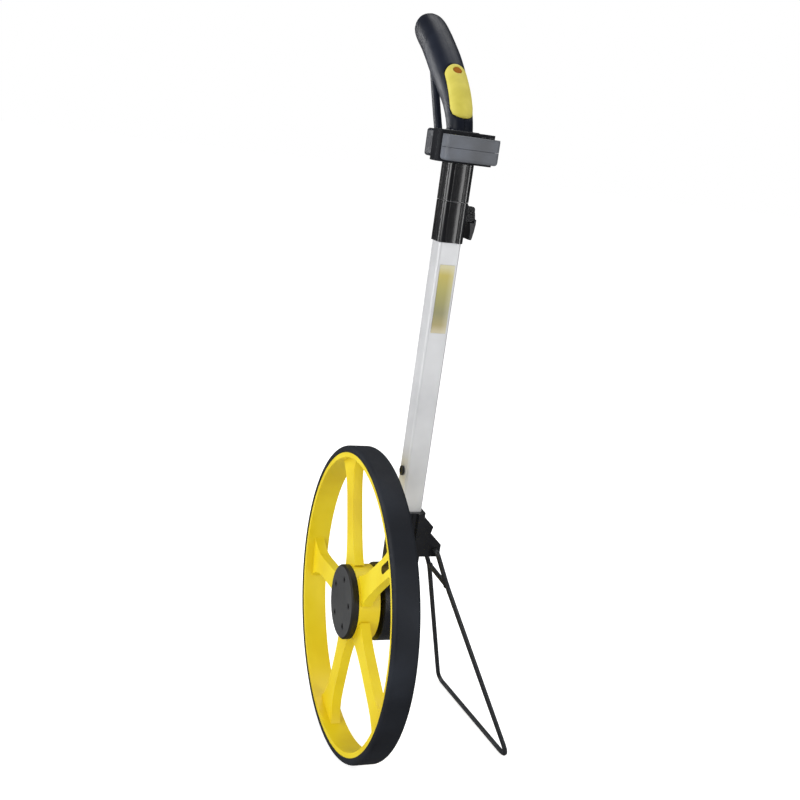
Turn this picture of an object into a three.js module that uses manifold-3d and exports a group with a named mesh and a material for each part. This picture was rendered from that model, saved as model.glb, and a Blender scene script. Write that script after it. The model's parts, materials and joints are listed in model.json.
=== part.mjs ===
// A walk-behind measuring wheel: a five-spoke wheel of one metre round, carried on one side by an
// arm, with a telescopic pole, a display unit, a closed curved handle and a folding wire stand.
// Millimetres. +X is the rolling direction, +Y runs along the axle from the wheel to the arm,
// +Z is up. The origin is the point of the tread that rests on the ground, under the axle.
import * as THREE from 'three';
import { mergeVertices } from 'three/addons/utils/BufferGeometryUtils.js';
import Module from 'manifold-3d';

const wasm = await Module();
wasm.setup();

// Shared clearances
const seat = 0.3;
const run = 0.6;
const overrun = 2;

// Wheel
const rollingRadius = 159.155;
const tyreWidth = 26;
const tyreWall = 7;
const tyreEdge = 4;
const wheelSides = 80;
const rimWidth = 24.6;
const rimWall = 5;
const spokeCount = 5;
const spokeTurn = -24;
const spokeRootWidth = 32;
const spokeTipWidth = 21;
const spokeFront = -4;
const spokeBack = 6;
const spokeFlare = 14;
const rimFlare = 40;
const rimFlareShare = 0.4;
const slotLength = 26;
const slotWidth = 8;
const slotRadius = 116;
const hubRadius = 38;
const hubWall = 3.5;
const hubFront = -6.2;
const hubBack = 15.8;
const hubWebFront = 1.5;
const hubWebBack = 6;
const hubBossWall = 4.5;
const bearingRadius = 14;
const bearingWidth = 7.9;
const axleRadius = 6;

// Hub cap and its screws
const capThick = 7.3;
const capFace = 2.2;
const capEdge = 1.6;
const capScrews = 5;
const capScrewRing = 25;
const capScrewTurn = 3;
const capBoss = 4.2;
const screwHead = 2.9;
const screwHeadHeight = 1.8;
const screwShank = 1.5;
const screwLength = 11;

// Axle, its shoulder, clip, washer and nut
const axleShoulder = 9.5;
const clipWall = 2.6;
const clipThick = 1.2;
const washerWall = 4.2;
const washerThick = 1.5;
const nutFlats = 17;
const nutHeight = 6;
const axleStub = 1.2;

// Magnet ring on the hub and the sensor board that reads it
const magnetInner = 23;
const magnetOuter = 31;
const magnetThick = 6;
const boardThick = 1.6;
const sensorBoardWidth = 22;
const sensorBoardHeight = 14;
const sensorBoardGap = 2.4;

// Pole: the outer tube is square with round corners, the inner one slides in it
const poleOffset = 44.3;
const tubeSize = 22;
const tubeCorner = 2.5;
const tubeWall = 1.5;
const innerTubeWall = 1.4;
const tubeFoot = 206;
const tubeTop = 556;

// Arm: a drum round the axle, a neck round the foot of the tube and a lug for the stand
const drumRadius = 40;
const drumWall = 3.2;
const drumFront = 20.5;
const drumBack = 52;
const armBoss = 14.5;
const neckHalfWidth = 16;
const neckFront = 29;
const neckWall = 3;
const neckCorner = 3;
const armScrewRing = 30;
const armScrews = 3;
const armScrewBoss = 4.6;
const lugHalfWidth = 19;
const lugReach = 78;
const shoulderReach = 67;
const shoulderDrop = 13;
const notchDepth = 2;
const notchHeight = 8;
const lugChamfer = 5;
const tubeBoltHeight = 240;
const tubeBoltRadius = 2;
const tubeBoltHead = 4;

// Stop screw on the tube and the plain label
const stopScrewHeight = 302;
const stopScrewHead = 5;
const stopScrewHeadHeight = 2.2;
const stopScrewShank = 1.5;
const labelFoot = 446;
const labelTop = 512;
const labelWidth = 15;
const labelThick = 0.5;

// Stand: one bent wire, with a welded brace
const wireRadius = 2.5;
const wireSides = 8;
const hingeReach = 72;
const hingeHeight = 224;
const lugBelow = 7.5;
const lugAbove = 10.5;
const lugFoot = hingeHeight - lugBelow;
const lugTop = hingeHeight + lugAbove;
const lugFall = 6.5;
const neckTop = lugTop + lugFall + notchHeight + shoulderDrop;
const wireHalfSpan = 27;
const wireEndGrip = 11;
const braceHeight = 187;
const braceReach = 88.5;
const farFoot = [-107, 157.4];
const nearFoot = [67, 173];
const farFootBend = 11;
const nearFootBend = 20;
const shoulderBend = 8;

// Lock collar at the top of the outer tube
const sleeveSize = 25;
const sleeveCorner = 4.5;
const ridgePlace = 5.7;
const ridgeWidth = 2.8;
const ridgeRise = 0.9;
const collarFoot = 533;
const collarTop = 571;
const earGap = 5.3;
const earThick = 3;
const earReach = 65;
const earFoot = 554;
const earTop = 568.5;
const pinHeight = 562.5;
const pinReach = 61.2;
const pinRadius = 1.3;
const padWidth = 8;
const padHeight = 7;
const padThick = 2.7;
const leverFoot = 537;
const leverThick = 4.2;
const leverOut = 67;
const leverWidth = 17;
const leverRoot = 3;
const leverLip = 2.4;
const leverShoulder = 5.8;

// Handle: neck sleeve, display unit, closed curved grip
const neckSleeveFoot = 571.6;
const unitFoot = 606.3;
const unitTop = 635;
const stemFront = 12.2;
const stemBack = -14;
const stemHalfWidth = 13;
const stemCorner = 4;
const innerTubeTop = 628;
const plugHeight = 24;
const plugClearance = 12;
const innerTubeFoot = tubeBoltHeight + tubeBoltRadius + plugHeight / 3 + plugClearance;
const plugWall = 0.6;
const tailEnd = -71;
const tailHalfWidth = 8;
const tailFoot = 607.5;
const tailTop = 634;
const tailWall = 2;
const tailCorner = 3;
const doorThick = 2;
const batteryRadius = 5.25;
const batteryLength = 44.5;
const guardHalfWidth = 3.8;
const guardHalfThick = 5.2;
const guardSides = 12;
const gripWall = 3;
const gripSides = 20;

// Rear and front cases of the display
const caseHalfWidth = 28.3;
const caseBack = -5;
const caseFront = 15.5;
const caseWall = 2.4;
const caseCorner = 5;
const frontHalfWidth = 26.1;
const frontReach = 33.3;
const frontFoot = 608.4;
const frontTop = 631.4;
const frontSplit = 620;
const frontCorner = 4;
const windowLength = 29.5;
const windowWidth = 11;
const windowShift = -8;
const windowThick = 1.6;
const windowLedge = 1.4;
const keyRadius = 2.6;
const keyTravel = 1;
const keyProud = 1.2;
const keyFlange = 0.9;
const keyFlangeThick = 1;
const keyShifts = [11.7, 19.3];

// Thumb pad and its button
const padLong = 64;
const padAcross = 23;
const padRise = 1.2;
const padDepth = 1.6;
const padShare = 0.31;
const buttonShare = 0.83;
const buttonRadius = 4.1;
const buttonTravel = 1.5;
const buttonProud = 1;
const buttonDepth = 9;
const buttonFlange = 1.4;
const gripScrewHead = 3.4;
const gripScrewShank = 1.6;
const gripScrewLength = 18;
const gripScrewSink = 3;

const axleHeight = rollingRadius;
const rimRadius = rollingRadius - tyreWall;

const materials = {
  tyre: new THREE.MeshStandardMaterial({ color: 0x24272c, roughness: 0.85, metalness: 0 }),
  yellow: new THREE.MeshStandardMaterial({ color: 0xf2cf17, roughness: 0.45, metalness: 0 }),
  cap: new THREE.MeshStandardMaterial({ color: 0x4e4e4e, roughness: 0.6, metalness: 0 }),
  black: new THREE.MeshStandardMaterial({ color: 0x26282d, roughness: 0.5, metalness: 0 }),
  grey: new THREE.MeshStandardMaterial({ color: 0x74777f, roughness: 0.5, metalness: 0 }),
  aluminium: new THREE.MeshStandardMaterial({ color: 0xd2d3d4, roughness: 0.4, metalness: 0.9 }),
  steel: new THREE.MeshStandardMaterial({ color: 0xa8abb0, roughness: 0.35, metalness: 1 }),
  wire: new THREE.MeshStandardMaterial({ color: 0x3a3c3f, roughness: 0.5, metalness: 0.4 }),
  pad: new THREE.MeshStandardMaterial({ color: 0xd6c64a, roughness: 0.7, metalness: 0 }),
  orange: new THREE.MeshStandardMaterial({ color: 0xb4620c, roughness: 0.5, metalness: 0 }),
  board: new THREE.MeshStandardMaterial({ color: 0x1f6b3a, roughness: 0.5, metalness: 0 }),
  glass: new THREE.MeshStandardMaterial({ color: 0x9aa79a, roughness: 0.1, metalness: 0 }),
  label: new THREE.MeshStandardMaterial({ color: 0xc9a92c, roughness: 0.5, metalness: 0 }),
  magnet: new THREE.MeshStandardMaterial({ color: 0x3b3836, roughness: 0.8, metalness: 0.2 }),
};

const wheelGroup = new THREE.Group();
const frameGroup = new THREE.Group();
const standGroup = new THREE.Group();
const handleGroup = new THREE.Group();

// Adds one named piece to a group.
function add(group, name, geometry, material) {
  const mesh = new THREE.Mesh(geometry, material);
  mesh.name = name;
  group.add(mesh);
  return mesh;
}

// Signed volume of a closed geometry, which is negative when its faces point inwards.
function signedVolume(geometry) {
  const place = geometry.attributes.position;
  const index = geometry.index;
  const a = new THREE.Vector3();
  const b = new THREE.Vector3();
  const c = new THREE.Vector3();
  let sum = 0;
  for (let i = 0; i < index.count; i += 3) {
    a.fromBufferAttribute(place, index.getX(i));
    b.fromBufferAttribute(place, index.getX(i + 1));
    c.fromBufferAttribute(place, index.getX(i + 2));
    sum += a.dot(b.cross(c));
  }
  return sum;
}

// Turns a three.js geometry into a closed solid with its faces pointing out.
function solid(source) {
  const bare = new THREE.BufferGeometry();
  bare.setAttribute('position', source.attributes.position.clone());
  if (source.index) bare.setIndex(source.index.clone());
  const merged = mergeVertices(bare, 1e-4);
  const triVerts = new Uint32Array(merged.index.array);
  if (signedVolume(merged) < 0) {
    for (let i = 0; i < triVerts.length; i += 3) {
      const first = triVerts[i];
      triVerts[i] = triVerts[i + 1];
      triVerts[i + 1] = first;
    }
  }
  const vertProperties = new Float32Array(merged.attributes.position.array);
  const mesh = new wasm.Mesh({ numProp: 3, vertProperties, triVerts });
  return new wasm.Manifold(mesh);
}

// Gives a solid back as a geometry.
function shapeOf(body) {
  const mesh = body.getMesh();
  const geometry = new THREE.BufferGeometry();
  geometry.setAttribute('position', new THREE.BufferAttribute(new Float32Array(mesh.vertProperties), 3));
  geometry.setIndex(new THREE.BufferAttribute(new Uint32Array(mesh.triVerts), 1));
  geometry.computeVertexNormals();
  return geometry;
}

function join(...bodies) {
  return bodies.reduce((whole, body) => whole.add(body));
}

function cut(body, ...tools) {
  return tools.reduce((rest, tool) => rest.subtract(tool), body);
}

// A plain block between two corners.
function block(x0, x1, y0, y1, z0, z1) {
  const geometry = new THREE.BoxGeometry(x1 - x0, y1 - y0, z1 - z0);
  geometry.translate((x0 + x1) / 2, (y0 + y1) / 2, (z0 + z1) / 2);
  return solid(geometry);
}

// A round rod or ring cutter along Y, from y0 to y1, centred at x and z.
function rodY(radius, y0, y1, x, z, sides = 24) {
  const geometry = new THREE.CylinderGeometry(radius, radius, y1 - y0, sides);
  geometry.translate(x, (y0 + y1) / 2, z);
  return solid(geometry);
}

function rodX(radius, x0, x1, y, z, sides = 16) {
  const geometry = new THREE.CylinderGeometry(radius, radius, x1 - x0, sides);
  geometry.rotateZ(Math.PI / 2);
  geometry.translate((x0 + x1) / 2, y, z);
  return solid(geometry);
}

function rodZ(radius, z0, z1, x, y, sides = 24) {
  const geometry = new THREE.CylinderGeometry(radius, radius, z1 - z0, sides);
  geometry.rotateX(Math.PI / 2);
  geometry.translate(x, y, (z0 + z1) / 2);
  return solid(geometry);
}

// A shape drawn in X and Z, drawn out along Y from y0 to y1.
function plateY(shape, y0, y1, curveSegments = 6) {
  const geometry = new THREE.ExtrudeGeometry(shape, { depth: y1 - y0, bevelEnabled: false, curveSegments });
  geometry.rotateX(Math.PI / 2);
  geometry.translate(0, y1, 0);
  return solid(geometry);
}

// A shape drawn in Y and Z, drawn out along X from x0 to x1.
function plateX(shape, x0, x1, curveSegments = 6) {
  const geometry = new THREE.ExtrudeGeometry(shape, { depth: x1 - x0, bevelEnabled: false, curveSegments });
  const turn = new THREE.Matrix4().makeBasis(
    new THREE.Vector3(0, 1, 0),
    new THREE.Vector3(0, 0, 1),
    new THREE.Vector3(1, 0, 0),
  );
  geometry.applyMatrix4(turn);
  geometry.translate(x0, 0, 0);
  return solid(geometry);
}

// A shape drawn in X and Y, drawn out along Z from z0 to z1.
function plateZ(shape, z0, z1, curveSegments = 4) {
  const geometry = new THREE.ExtrudeGeometry(shape, { depth: z1 - z0, bevelEnabled: false, curveSegments });
  geometry.translate(0, 0, z0);
  return solid(geometry);
}

// A rectangle with round corners, between two corners.
function roundRect(u0, u1, v0, v1, radius) {
  const shape = new THREE.Shape();
  const right = Math.PI / 2;
  shape.absarc(u1 - radius, v0 + radius, radius, -right, 0);
  shape.absarc(u1 - radius, v1 - radius, radius, 0, right);
  shape.absarc(u0 + radius, v1 - radius, radius, right, 2 * right);
  shape.absarc(u0 + radius, v0 + radius, radius, 2 * right, 3 * right);
  return shape;
}

function polygon(points) {
  return new THREE.Shape(points.map(([u, v]) => new THREE.Vector2(u, v)));
}

// A closed outline of radius and Y, turned round the axle. A flat of the round lies at the bottom.
function turned(outline, sides) {
  const points = outline.map(([radius, y]) => new THREE.Vector2(radius, y));
  points.push(points[0].clone());
  const geometry = new THREE.LatheGeometry(points, sides, Math.PI / sides);
  geometry.translate(0, 0, axleHeight);
  return solid(geometry);
}

// A ring along the axle.
function ring(inner, outer, y0, y1, sides) {
  return turned([[inner, y0], [outer, y0], [outer, y1], [inner, y1]], sides);
}

// A square tube or post with round corners, centred on the pole.
function post(size, corner, z0, z1) {
  const half = size / 2;
  const shape = roundRect(-half, half, poleOffset - half, poleOffset + half, corner);
  return plateZ(shape, z0, z1, 4);
}

// The collar and the neck sleeve share this outside: a square post with pairs of raised ridges.
function ridgedPost(z0, z1) {
  const face = sleeveSize / 2;
  const ridges = [];
  for (const side of [-1, 1]) {
    const low = side * ridgePlace - ridgeWidth / 2;
    const high = side * ridgePlace + ridgeWidth / 2;
    ridges.push(block(0, face + ridgeRise, poleOffset + low, poleOffset + high, z0, z1));
    ridges.push(block(-face - ridgeRise, 0, poleOffset + low, poleOffset + high, z0, z1));
    ridges.push(block(low, high, poleOffset - face - ridgeRise, poleOffset, z0, z1));
  }
  return join(post(sleeveSize, sleeveCorner, z0, z1), ...ridges);
}

// A screw along Y: its head lies at y0 and its shank runs on by length, in the sense given.
function screwY(head, headHeight, shank, length, x, z, y0, sense) {
  const headEnd = y0 + sense * headHeight;
  const tip = headEnd + sense * length;
  const low = Math.min(y0, headEnd);
  const high = Math.max(y0, headEnd);
  const socket = rodY(head / 2, y0 - headHeight / 2, y0 + headHeight / 2, x, z, 6);
  const cap = rodY(head, low, high, x, z, 16);
  const stem = rodY(shank, Math.min(y0 + sense * headHeight / 2, tip), Math.max(y0 + sense * headHeight / 2, tip), x, z, 12);
  return cut(join(cap, stem), socket);
}

// Places round the axle, in turn from the top towards +X.
function roundAxle(radius, degrees) {
  const angle = THREE.MathUtils.degToRad(degrees);
  return [radius * Math.sin(angle), axleHeight + radius * Math.cos(angle)];
}

// Tyre: a solid rubber band with round edges.
function tyre() {
  const flat = 1 / Math.cos(Math.PI / wheelSides);
  const outer = rollingRadius * flat;
  const inner = rimRadius + seat;
  const half = tyreWidth / 2;
  const outline = [[inner, -half]];
  for (const side of [-1, 1]) {
    for (let step = 0; step <= 3; step += 1) {
      const angle = (Math.PI / 2) * (side < 0 ? step / 3 : 1 - step / 3);
      const out = outer - tyreEdge + tyreEdge * Math.sin(angle);
      const along = side * (half - tyreEdge + tyreEdge * Math.cos(angle));
      outline.push([out, along]);
    }
  }
  outline.push([inner, half]);
  return turned(outline, wheelSides);
}

// One spoke, drawn pointing up from the axle: it flares into the hub and into the rim.
function spokeShape() {
  const root = spokeRootWidth / 2;
  const tip = spokeTipWidth / 2;
  const low = hubRadius - hubWall / 2;
  const high = rimRadius - rimWall / 2;
  const spread = tip + rimFlare * rimFlareShare;
  const shape = new THREE.Shape();
  shape.moveTo(-root, low);
  shape.lineTo(root, low);
  shape.quadraticCurveTo(tip, low + spokeFlare, tip, low + 3 * spokeFlare);
  shape.lineTo(tip, high - rimFlare);
  shape.quadraticCurveTo(tip, high - rimFlare / 3, spread, high);
  shape.lineTo(-spread, high);
  shape.quadraticCurveTo(-tip, high - rimFlare / 3, -tip, high - rimFlare);
  shape.lineTo(-tip, low + 3 * spokeFlare);
  shape.quadraticCurveTo(-tip, low + spokeFlare, -root, low);
  return shape;
}

function spoke(degrees) {
  const geometry = new THREE.ExtrudeGeometry(spokeShape(), {
    depth: spokeBack - spokeFront,
    bevelEnabled: false,
    curveSegments: 4,
  });
  geometry.rotateX(Math.PI / 2);
  geometry.translate(0, spokeBack, 0);
  geometry.rotateY(THREE.MathUtils.degToRad(degrees));
  geometry.translate(0, 0, axleHeight);
  return solid(geometry);
}

// The wheel moulding: rim, five spokes and a hollow hub with its bearing seat and screw bosses.
function wheelMoulding() {
  const half = rimWidth / 2;
  const bore = bearingRadius + seat;
  const boss = bore + hubBossWall;
  const skin = hubRadius - hubWall;
  const rim = ring(rimRadius - rimWall, rimRadius, -half, half, wheelSides);
  const hub = turned([
    [bore, hubFront + seat], [boss, hubFront + seat], [boss, hubWebFront], [skin, hubWebFront],
    [skin, hubFront], [hubRadius, hubFront], [hubRadius, hubBack], [skin, hubBack],
    [skin, hubWebBack], [boss, hubWebBack], [boss, hubBack - seat], [bore, hubBack - seat],
  ], 48);
  let body = join(rim, hub);
  for (let i = 0; i < spokeCount; i += 1) body = body.add(spoke(spokeTurn + (360 / spokeCount) * i));
  for (let i = 0; i < capScrews; i += 1) {
    const [x, z] = roundAxle(capScrewRing, capScrewTurn + (360 / capScrews) * i);
    body = body.add(rodY(capBoss, hubFront + seat, hubWebFront + seat, x, z, 12));
    body = body.subtract(rodY(screwShank + seat, hubFront - overrun, hubWebBack + overrun, x, z, 12));
  }
  const slotSpoke = THREE.MathUtils.degToRad(spokeTurn + 360 / spokeCount);
  const slotShape = roundRect(
    -slotWidth / 2, slotWidth / 2,
    slotRadius - slotLength / 2, slotRadius + slotLength / 2,
    slotWidth / 2 - seat / 3,
  );
  const slot = new THREE.ExtrudeGeometry(slotShape, {
    depth: spokeBack - spokeFront + 2 * overrun,
    bevelEnabled: false,
    curveSegments: 4,
  });
  slot.rotateX(Math.PI / 2);
  slot.translate(0, spokeBack + overrun, 0);
  slot.rotateY(slotSpoke);
  slot.translate(0, 0, axleHeight);
  return body.subtract(solid(slot));
}

// Hub cap: a shallow cup with five screw wells.
function hubCap() {
  const back = hubFront - seat;
  const front = back - capThick;
  const edge = hubRadius - seat;
  let cap = turned([
    [0, front], [edge - capEdge, front], [edge, front + capEdge], [edge, back],
    [edge - hubWall, back], [edge - hubWall, front + capFace], [0, front + capFace],
  ], 48);
  for (let i = 0; i < capScrews; i += 1) {
    const [x, z] = roundAxle(capScrewRing, capScrewTurn + (360 / capScrews) * i);
    cap = cap.add(rodY(capBoss, front + capFace / 2, back, x, z, 12));
    cap = cap.subtract(rodY(screwHead + seat, front - overrun, front + screwHeadHeight + seat, x, z, 16));
    cap = cap.subtract(rodY(screwShank + seat, front, back + overrun, x, z, 12));
  }
  return cap;
}

const capFront = hubFront - seat - capThick;
add(wheelGroup, 'tyre', shapeOf(tyre()), materials.tyre);
add(wheelGroup, 'wheel_moulding', shapeOf(wheelMoulding()), materials.yellow);
add(wheelGroup, 'hub_cap', shapeOf(hubCap()), materials.cap);
for (let i = 0; i < capScrews; i += 1) {
  const [x, z] = roundAxle(capScrewRing, capScrewTurn + (360 / capScrews) * i);
  const screw = screwY(screwHead, screwHeadHeight, screwShank, screwLength, x, z, capFront, 1);
  add(wheelGroup, `hub_cap_screw_${i + 1}`, shapeOf(screw), materials.steel);
}

// Two bearings with a spacer between them.
const frontBearing = hubFront + 2 * seat;
const rearBearing = hubBack - 2 * seat - bearingWidth;
const bearingBore = axleRadius + seat;
const frontRace = ring(bearingBore, bearingRadius, frontBearing, frontBearing + bearingWidth, 32);
const rearRace = ring(bearingBore, bearingRadius, rearBearing, rearBearing + bearingWidth, 32);
const spacer = ring(
  bearingBore, bearingBore + hubBossWall / 2,
  frontBearing + bearingWidth + seat, rearBearing - seat, 32,
);
const magnet = ring(magnetInner, magnetOuter, hubWebBack + seat, hubWebBack + seat + magnetThick, 40);
add(wheelGroup, 'bearing_front', shapeOf(frontRace), materials.steel);
add(wheelGroup, 'bearing_rear', shapeOf(rearRace), materials.steel);
add(wheelGroup, 'bearing_spacer', shapeOf(spacer), materials.steel);
add(wheelGroup, 'magnet_ring', shapeOf(magnet), materials.magnet);

// Axle with a shoulder that bears on the arm, held by a clip in front and a nut behind.
const shoulderFront = rearBearing + bearingWidth + seat;
const shoulderBack = drumFront - seat;
const nutFront = drumBack - nutHeight / 2 + washerThick + 2 * seat;
const clipFront = frontBearing - seat - clipThick;
const axleFront = clipFront - axleStub;
const axleBack = nutFront + nutHeight + axleStub;
const axle = join(
  rodY(axleRadius, axleFront, axleBack, 0, axleHeight, 32),
  rodY(axleShoulder, shoulderFront, shoulderBack, 0, axleHeight, 32),
);
const clip = ring(axleRadius + seat, axleRadius + seat + clipWall, clipFront, clipFront + clipThick, 24);
const washerFront = nutFront - seat - washerThick;
const washer = ring(axleRadius + seat, axleRadius + seat + washerWall, washerFront, nutFront - seat, 24);
const nutRadius = nutFlats / 2 / Math.cos(Math.PI / 6);
const nut = cut(
  rodY(nutRadius, nutFront, nutFront + nutHeight, 0, axleHeight, 6),
  rodY(axleRadius + seat, nutFront - overrun, nutFront + nutHeight + overrun, 0, axleHeight, 32),
);
add(frameGroup, 'axle', shapeOf(axle), materials.steel);
add(frameGroup, 'axle_clip', shapeOf(clip), materials.steel);
add(frameGroup, 'axle_washer', shapeOf(washer), materials.steel);
add(frameGroup, 'axle_nut', shapeOf(nut), materials.steel);

// The arm is split on the centre line of the pole into an inner and an outer shell.
const splitInner = poleOffset - seat / 2;
const splitOuter = poleOffset + seat / 2;
const neckBack = poleOffset + tubeSize / 2 + seat + neckWall;
const socket = post(tubeSize + 2 * seat, tubeCorner, tubeFoot - seat, neckTop + overrun);
const armHoles = [];
for (let i = 0; i < armScrews; i += 1) armHoles.push(roundAxle(armScrewRing, (360 / armScrews) * i));

function armInner() {
  const skin = drumRadius - drumWall;
  const neck = plateZ(
    roundRect(-neckHalfWidth, neckHalfWidth, neckFront, neckBack, neckCorner),
    axleHeight, neckTop,
  );
  const drum = rodY(drumRadius, drumFront, splitInner, 0, axleHeight, 48);
  const hollow = rodY(skin, drumFront + drumWall, splitInner + overrun, 0, axleHeight, 48);
  const inside = neck.subtract(rodY(skin, neckFront - overrun, neckBack + overrun, 0, axleHeight, 48));
  let body = join(cut(drum, hollow), inside);
  body = body.add(rodY(armBoss, drumFront + drumWall / 2, splitInner, 0, axleHeight, 32));
  for (const [x, z] of armHoles) {
    body = body.add(rodY(armScrewBoss, drumFront + drumWall / 2, splitInner, x, z, 12));
    body = body.subtract(rodY(screwShank + seat, drumFront + drumWall, splitInner + overrun, x, z, 12));
  }
  body = cut(
    body, socket,
    rodY(axleRadius + seat, drumFront - overrun, splitInner + overrun, 0, axleHeight, 32),
    rodY(tubeBoltRadius + seat, neckFront - overrun, neckBack + overrun, 0, tubeBoltHeight, 12),
  );
  const keep = block(
    -drumRadius - overrun, drumRadius + overrun,
    drumFront - overrun, splitInner,
    axleHeight - drumRadius - overrun, neckTop + overrun,
  );
  return body.intersect(keep);
}

function armOuter() {
  const skin = drumRadius - drumWall;
  const neck = plateZ(
    roundRect(-neckHalfWidth, neckHalfWidth, neckFront, neckBack, neckCorner),
    axleHeight, neckTop,
  );
  const lugStart = poleOffset + tubeSize / 4;
  const shoulderLow = neckTop - shoulderDrop;
  const lug = plateX(polygon([
    [lugStart, neckTop], [shoulderReach - shoulderDrop, neckTop], [shoulderReach, shoulderLow],
    [shoulderReach - notchDepth, shoulderLow - notchHeight],
    [lugReach - lugChamfer, lugTop], [lugReach, lugTop - lugChamfer],
    [lugReach, lugFoot], [lugStart, lugFoot],
  ]), -lugHalfWidth, lugHalfWidth);
  const drum = rodY(drumRadius, splitOuter, drumBack, 0, axleHeight, 48);
  const hollow = rodY(skin, splitOuter - overrun, drumBack - drumWall, 0, axleHeight, 48);
  const inside = neck.subtract(rodY(skin, neckFront - overrun, drumBack - drumWall, 0, axleHeight, 48));
  let body = join(cut(drum, hollow), inside, lug);
  body = body.add(rodY(armBoss, splitOuter, drumBack - drumWall / 2, 0, axleHeight, 32));
  for (const [x, z] of armHoles) {
    body = body.add(rodY(armScrewBoss, splitOuter, drumBack - drumWall / 2, x, z, 12));
    body = body.subtract(rodY(screwShank + seat, splitOuter - overrun, drumBack + overrun, x, z, 12));
    body = body.subtract(
      rodY(screwHead + seat, drumBack - screwHeadHeight - seat, neckBack + overrun, x, z, 16),
    );
  }
  const nutWell = axleRadius + seat + washerWall + run;
  body = cut(
    body, socket,
    rodY(axleRadius + seat, splitOuter - overrun, drumBack + overrun, 0, axleHeight, 32),
    rodY(nutWell, washerFront - seat, neckBack + overrun, 0, axleHeight, 32),
    rodY(tubeBoltRadius + seat, splitOuter - overrun, shoulderReach + overrun, 0, tubeBoltHeight, 12),
    rodY(tubeBoltHead + seat, neckBack, lugReach + overrun, 0, tubeBoltHeight, 16),
    rodX(wireRadius + run / 2, -lugHalfWidth - overrun, lugHalfWidth + overrun, hingeReach, hingeHeight),
  );
  const keep = block(
    -drumRadius - overrun, drumRadius + overrun,
    splitOuter, lugReach + overrun,
    axleHeight - drumRadius - overrun, neckTop + overrun,
  );
  return body.intersect(keep);
}

add(frameGroup, 'arm_inner_shell', shapeOf(armInner()), materials.black);
add(frameGroup, 'arm_outer_shell', shapeOf(armOuter()), materials.black);
armHoles.forEach(([x, z], i) => {
  const screw = screwY(screwHead, screwHeadHeight, screwShank, screwLength, x, z, drumBack, -1);
  add(frameGroup, `arm_screw_${i + 1}`, shapeOf(screw), materials.steel);
});
const boltHeadFront = neckBack + seat;
const tubeBolt = join(
  rodY(tubeBoltHead, boltHeadFront, boltHeadFront + tubeBoltHead / 2, 0, tubeBoltHeight, 16),
  rodY(tubeBoltRadius, neckFront, boltHeadFront + tubeBoltRadius, 0, tubeBoltHeight, 12),
);
add(frameGroup, 'tube_bolt', shapeOf(tubeBolt), materials.steel);

// Sensor board in the drum, above the axle boss.
const sensorFoot = axleHeight - armBoss - seat - sensorBoardHeight;
const sensorFront = drumFront + drumWall + seat;
const sensorBoard = block(
  -sensorBoardWidth / 2, sensorBoardWidth / 2,
  sensorFront, sensorFront + boardThick,
  sensorFoot, sensorFoot + sensorBoardHeight,
);
add(frameGroup, 'sensor_board', shapeOf(sensorBoard), materials.board);

// Outer tube, with holes for its bolt and the stop screw.
const innerTubeSize = tubeSize - 2 * tubeWall - 2 * seat;
function outerTube() {
  const bore = tubeSize - 2 * tubeWall;
  const face = poleOffset - tubeSize / 2;
  return cut(
    post(tubeSize, tubeCorner, tubeFoot, tubeTop),
    post(bore, tubeCorner - tubeWall, tubeFoot - overrun, tubeTop + overrun),
    rodY(tubeBoltRadius + seat, face - overrun, face + tubeSize + overrun, 0, tubeBoltHeight, 12),
    rodY(stopScrewShank + seat, face - overrun, face + tubeSize / 2, 0, stopScrewHeight, 12),
  );
}
add(frameGroup, 'outer_tube', shapeOf(outerTube()), materials.aluminium);
const tubeFace = poleOffset - tubeSize / 2 - seat;
const stopScrew = cut(
  join(
    rodY(stopScrewHead, tubeFace - stopScrewHeadHeight, tubeFace, 0, stopScrewHeight, 20),
    rodY(stopScrewShank, tubeFace - stopScrewHeadHeight / 2, tubeFace + seat + tubeWall, 0, stopScrewHeight, 12),
  ),
  rodY(stopScrewHead / 2, tubeFace - 2 * stopScrewHeadHeight, tubeFace - stopScrewHeadHeight * 0.6,
    0, stopScrewHeight, 6),
);
add(frameGroup, 'stop_screw', shapeOf(stopScrew), materials.steel);
const labelFace = tubeSize / 2 + seat;
const label = block(
  labelFace, labelFace + labelThick,
  poleOffset - labelWidth / 2, poleOffset + labelWidth / 2,
  labelFoot, labelTop,
);
add(frameGroup, 'label_plate', shapeOf(label), materials.label);

// Lock collar: a sleeve on the end of the outer tube, with two ears for the latch.
const padLow = pinHeight - padHeight / 2;
function lockCollar() {
  const ears = [];
  for (const side of [-1, 1]) {
    const near = side * earGap;
    const far = side * (earGap + earThick);
    ears.push(plateX(
      roundRect(poleOffset, earReach, earFoot, earTop, earThick),
      Math.min(near, far), Math.max(near, far), 3,
    ));
  }
  return cut(
    join(ridgedPost(collarFoot, collarTop), ...ears),
    post(tubeSize + 2 * seat, tubeCorner, collarFoot - overrun, tubeTop + seat),
    post(innerTubeSize + 2 * seat, tubeCorner - tubeWall, tubeTop, collarTop + overrun),
    block(
      -padWidth / 2 - seat, padWidth / 2 + seat,
      poleOffset, poleOffset + sleeveSize,
      padLow - seat, padLow + padHeight + seat,
    ),
    rodX(pinRadius + seat, -leverWidth, leverWidth, pinReach, pinHeight, 12),
  );
}
add(frameGroup, 'lock_collar', shapeOf(lockCollar()), materials.black);
const padFace = poleOffset + innerTubeSize / 2 + seat;
const clampPad = block(-padWidth / 2, padWidth / 2, padFace, padFace + padThick, padLow, padLow + padHeight);
add(frameGroup, 'clamp_pad', shapeOf(clampPad), materials.steel);
const latchPin = rodX(pinRadius, -earGap - earThick, earGap + earThick, pinReach, pinHeight, 12);
add(frameGroup, 'latch_pin', shapeOf(latchPin), materials.steel);

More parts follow.
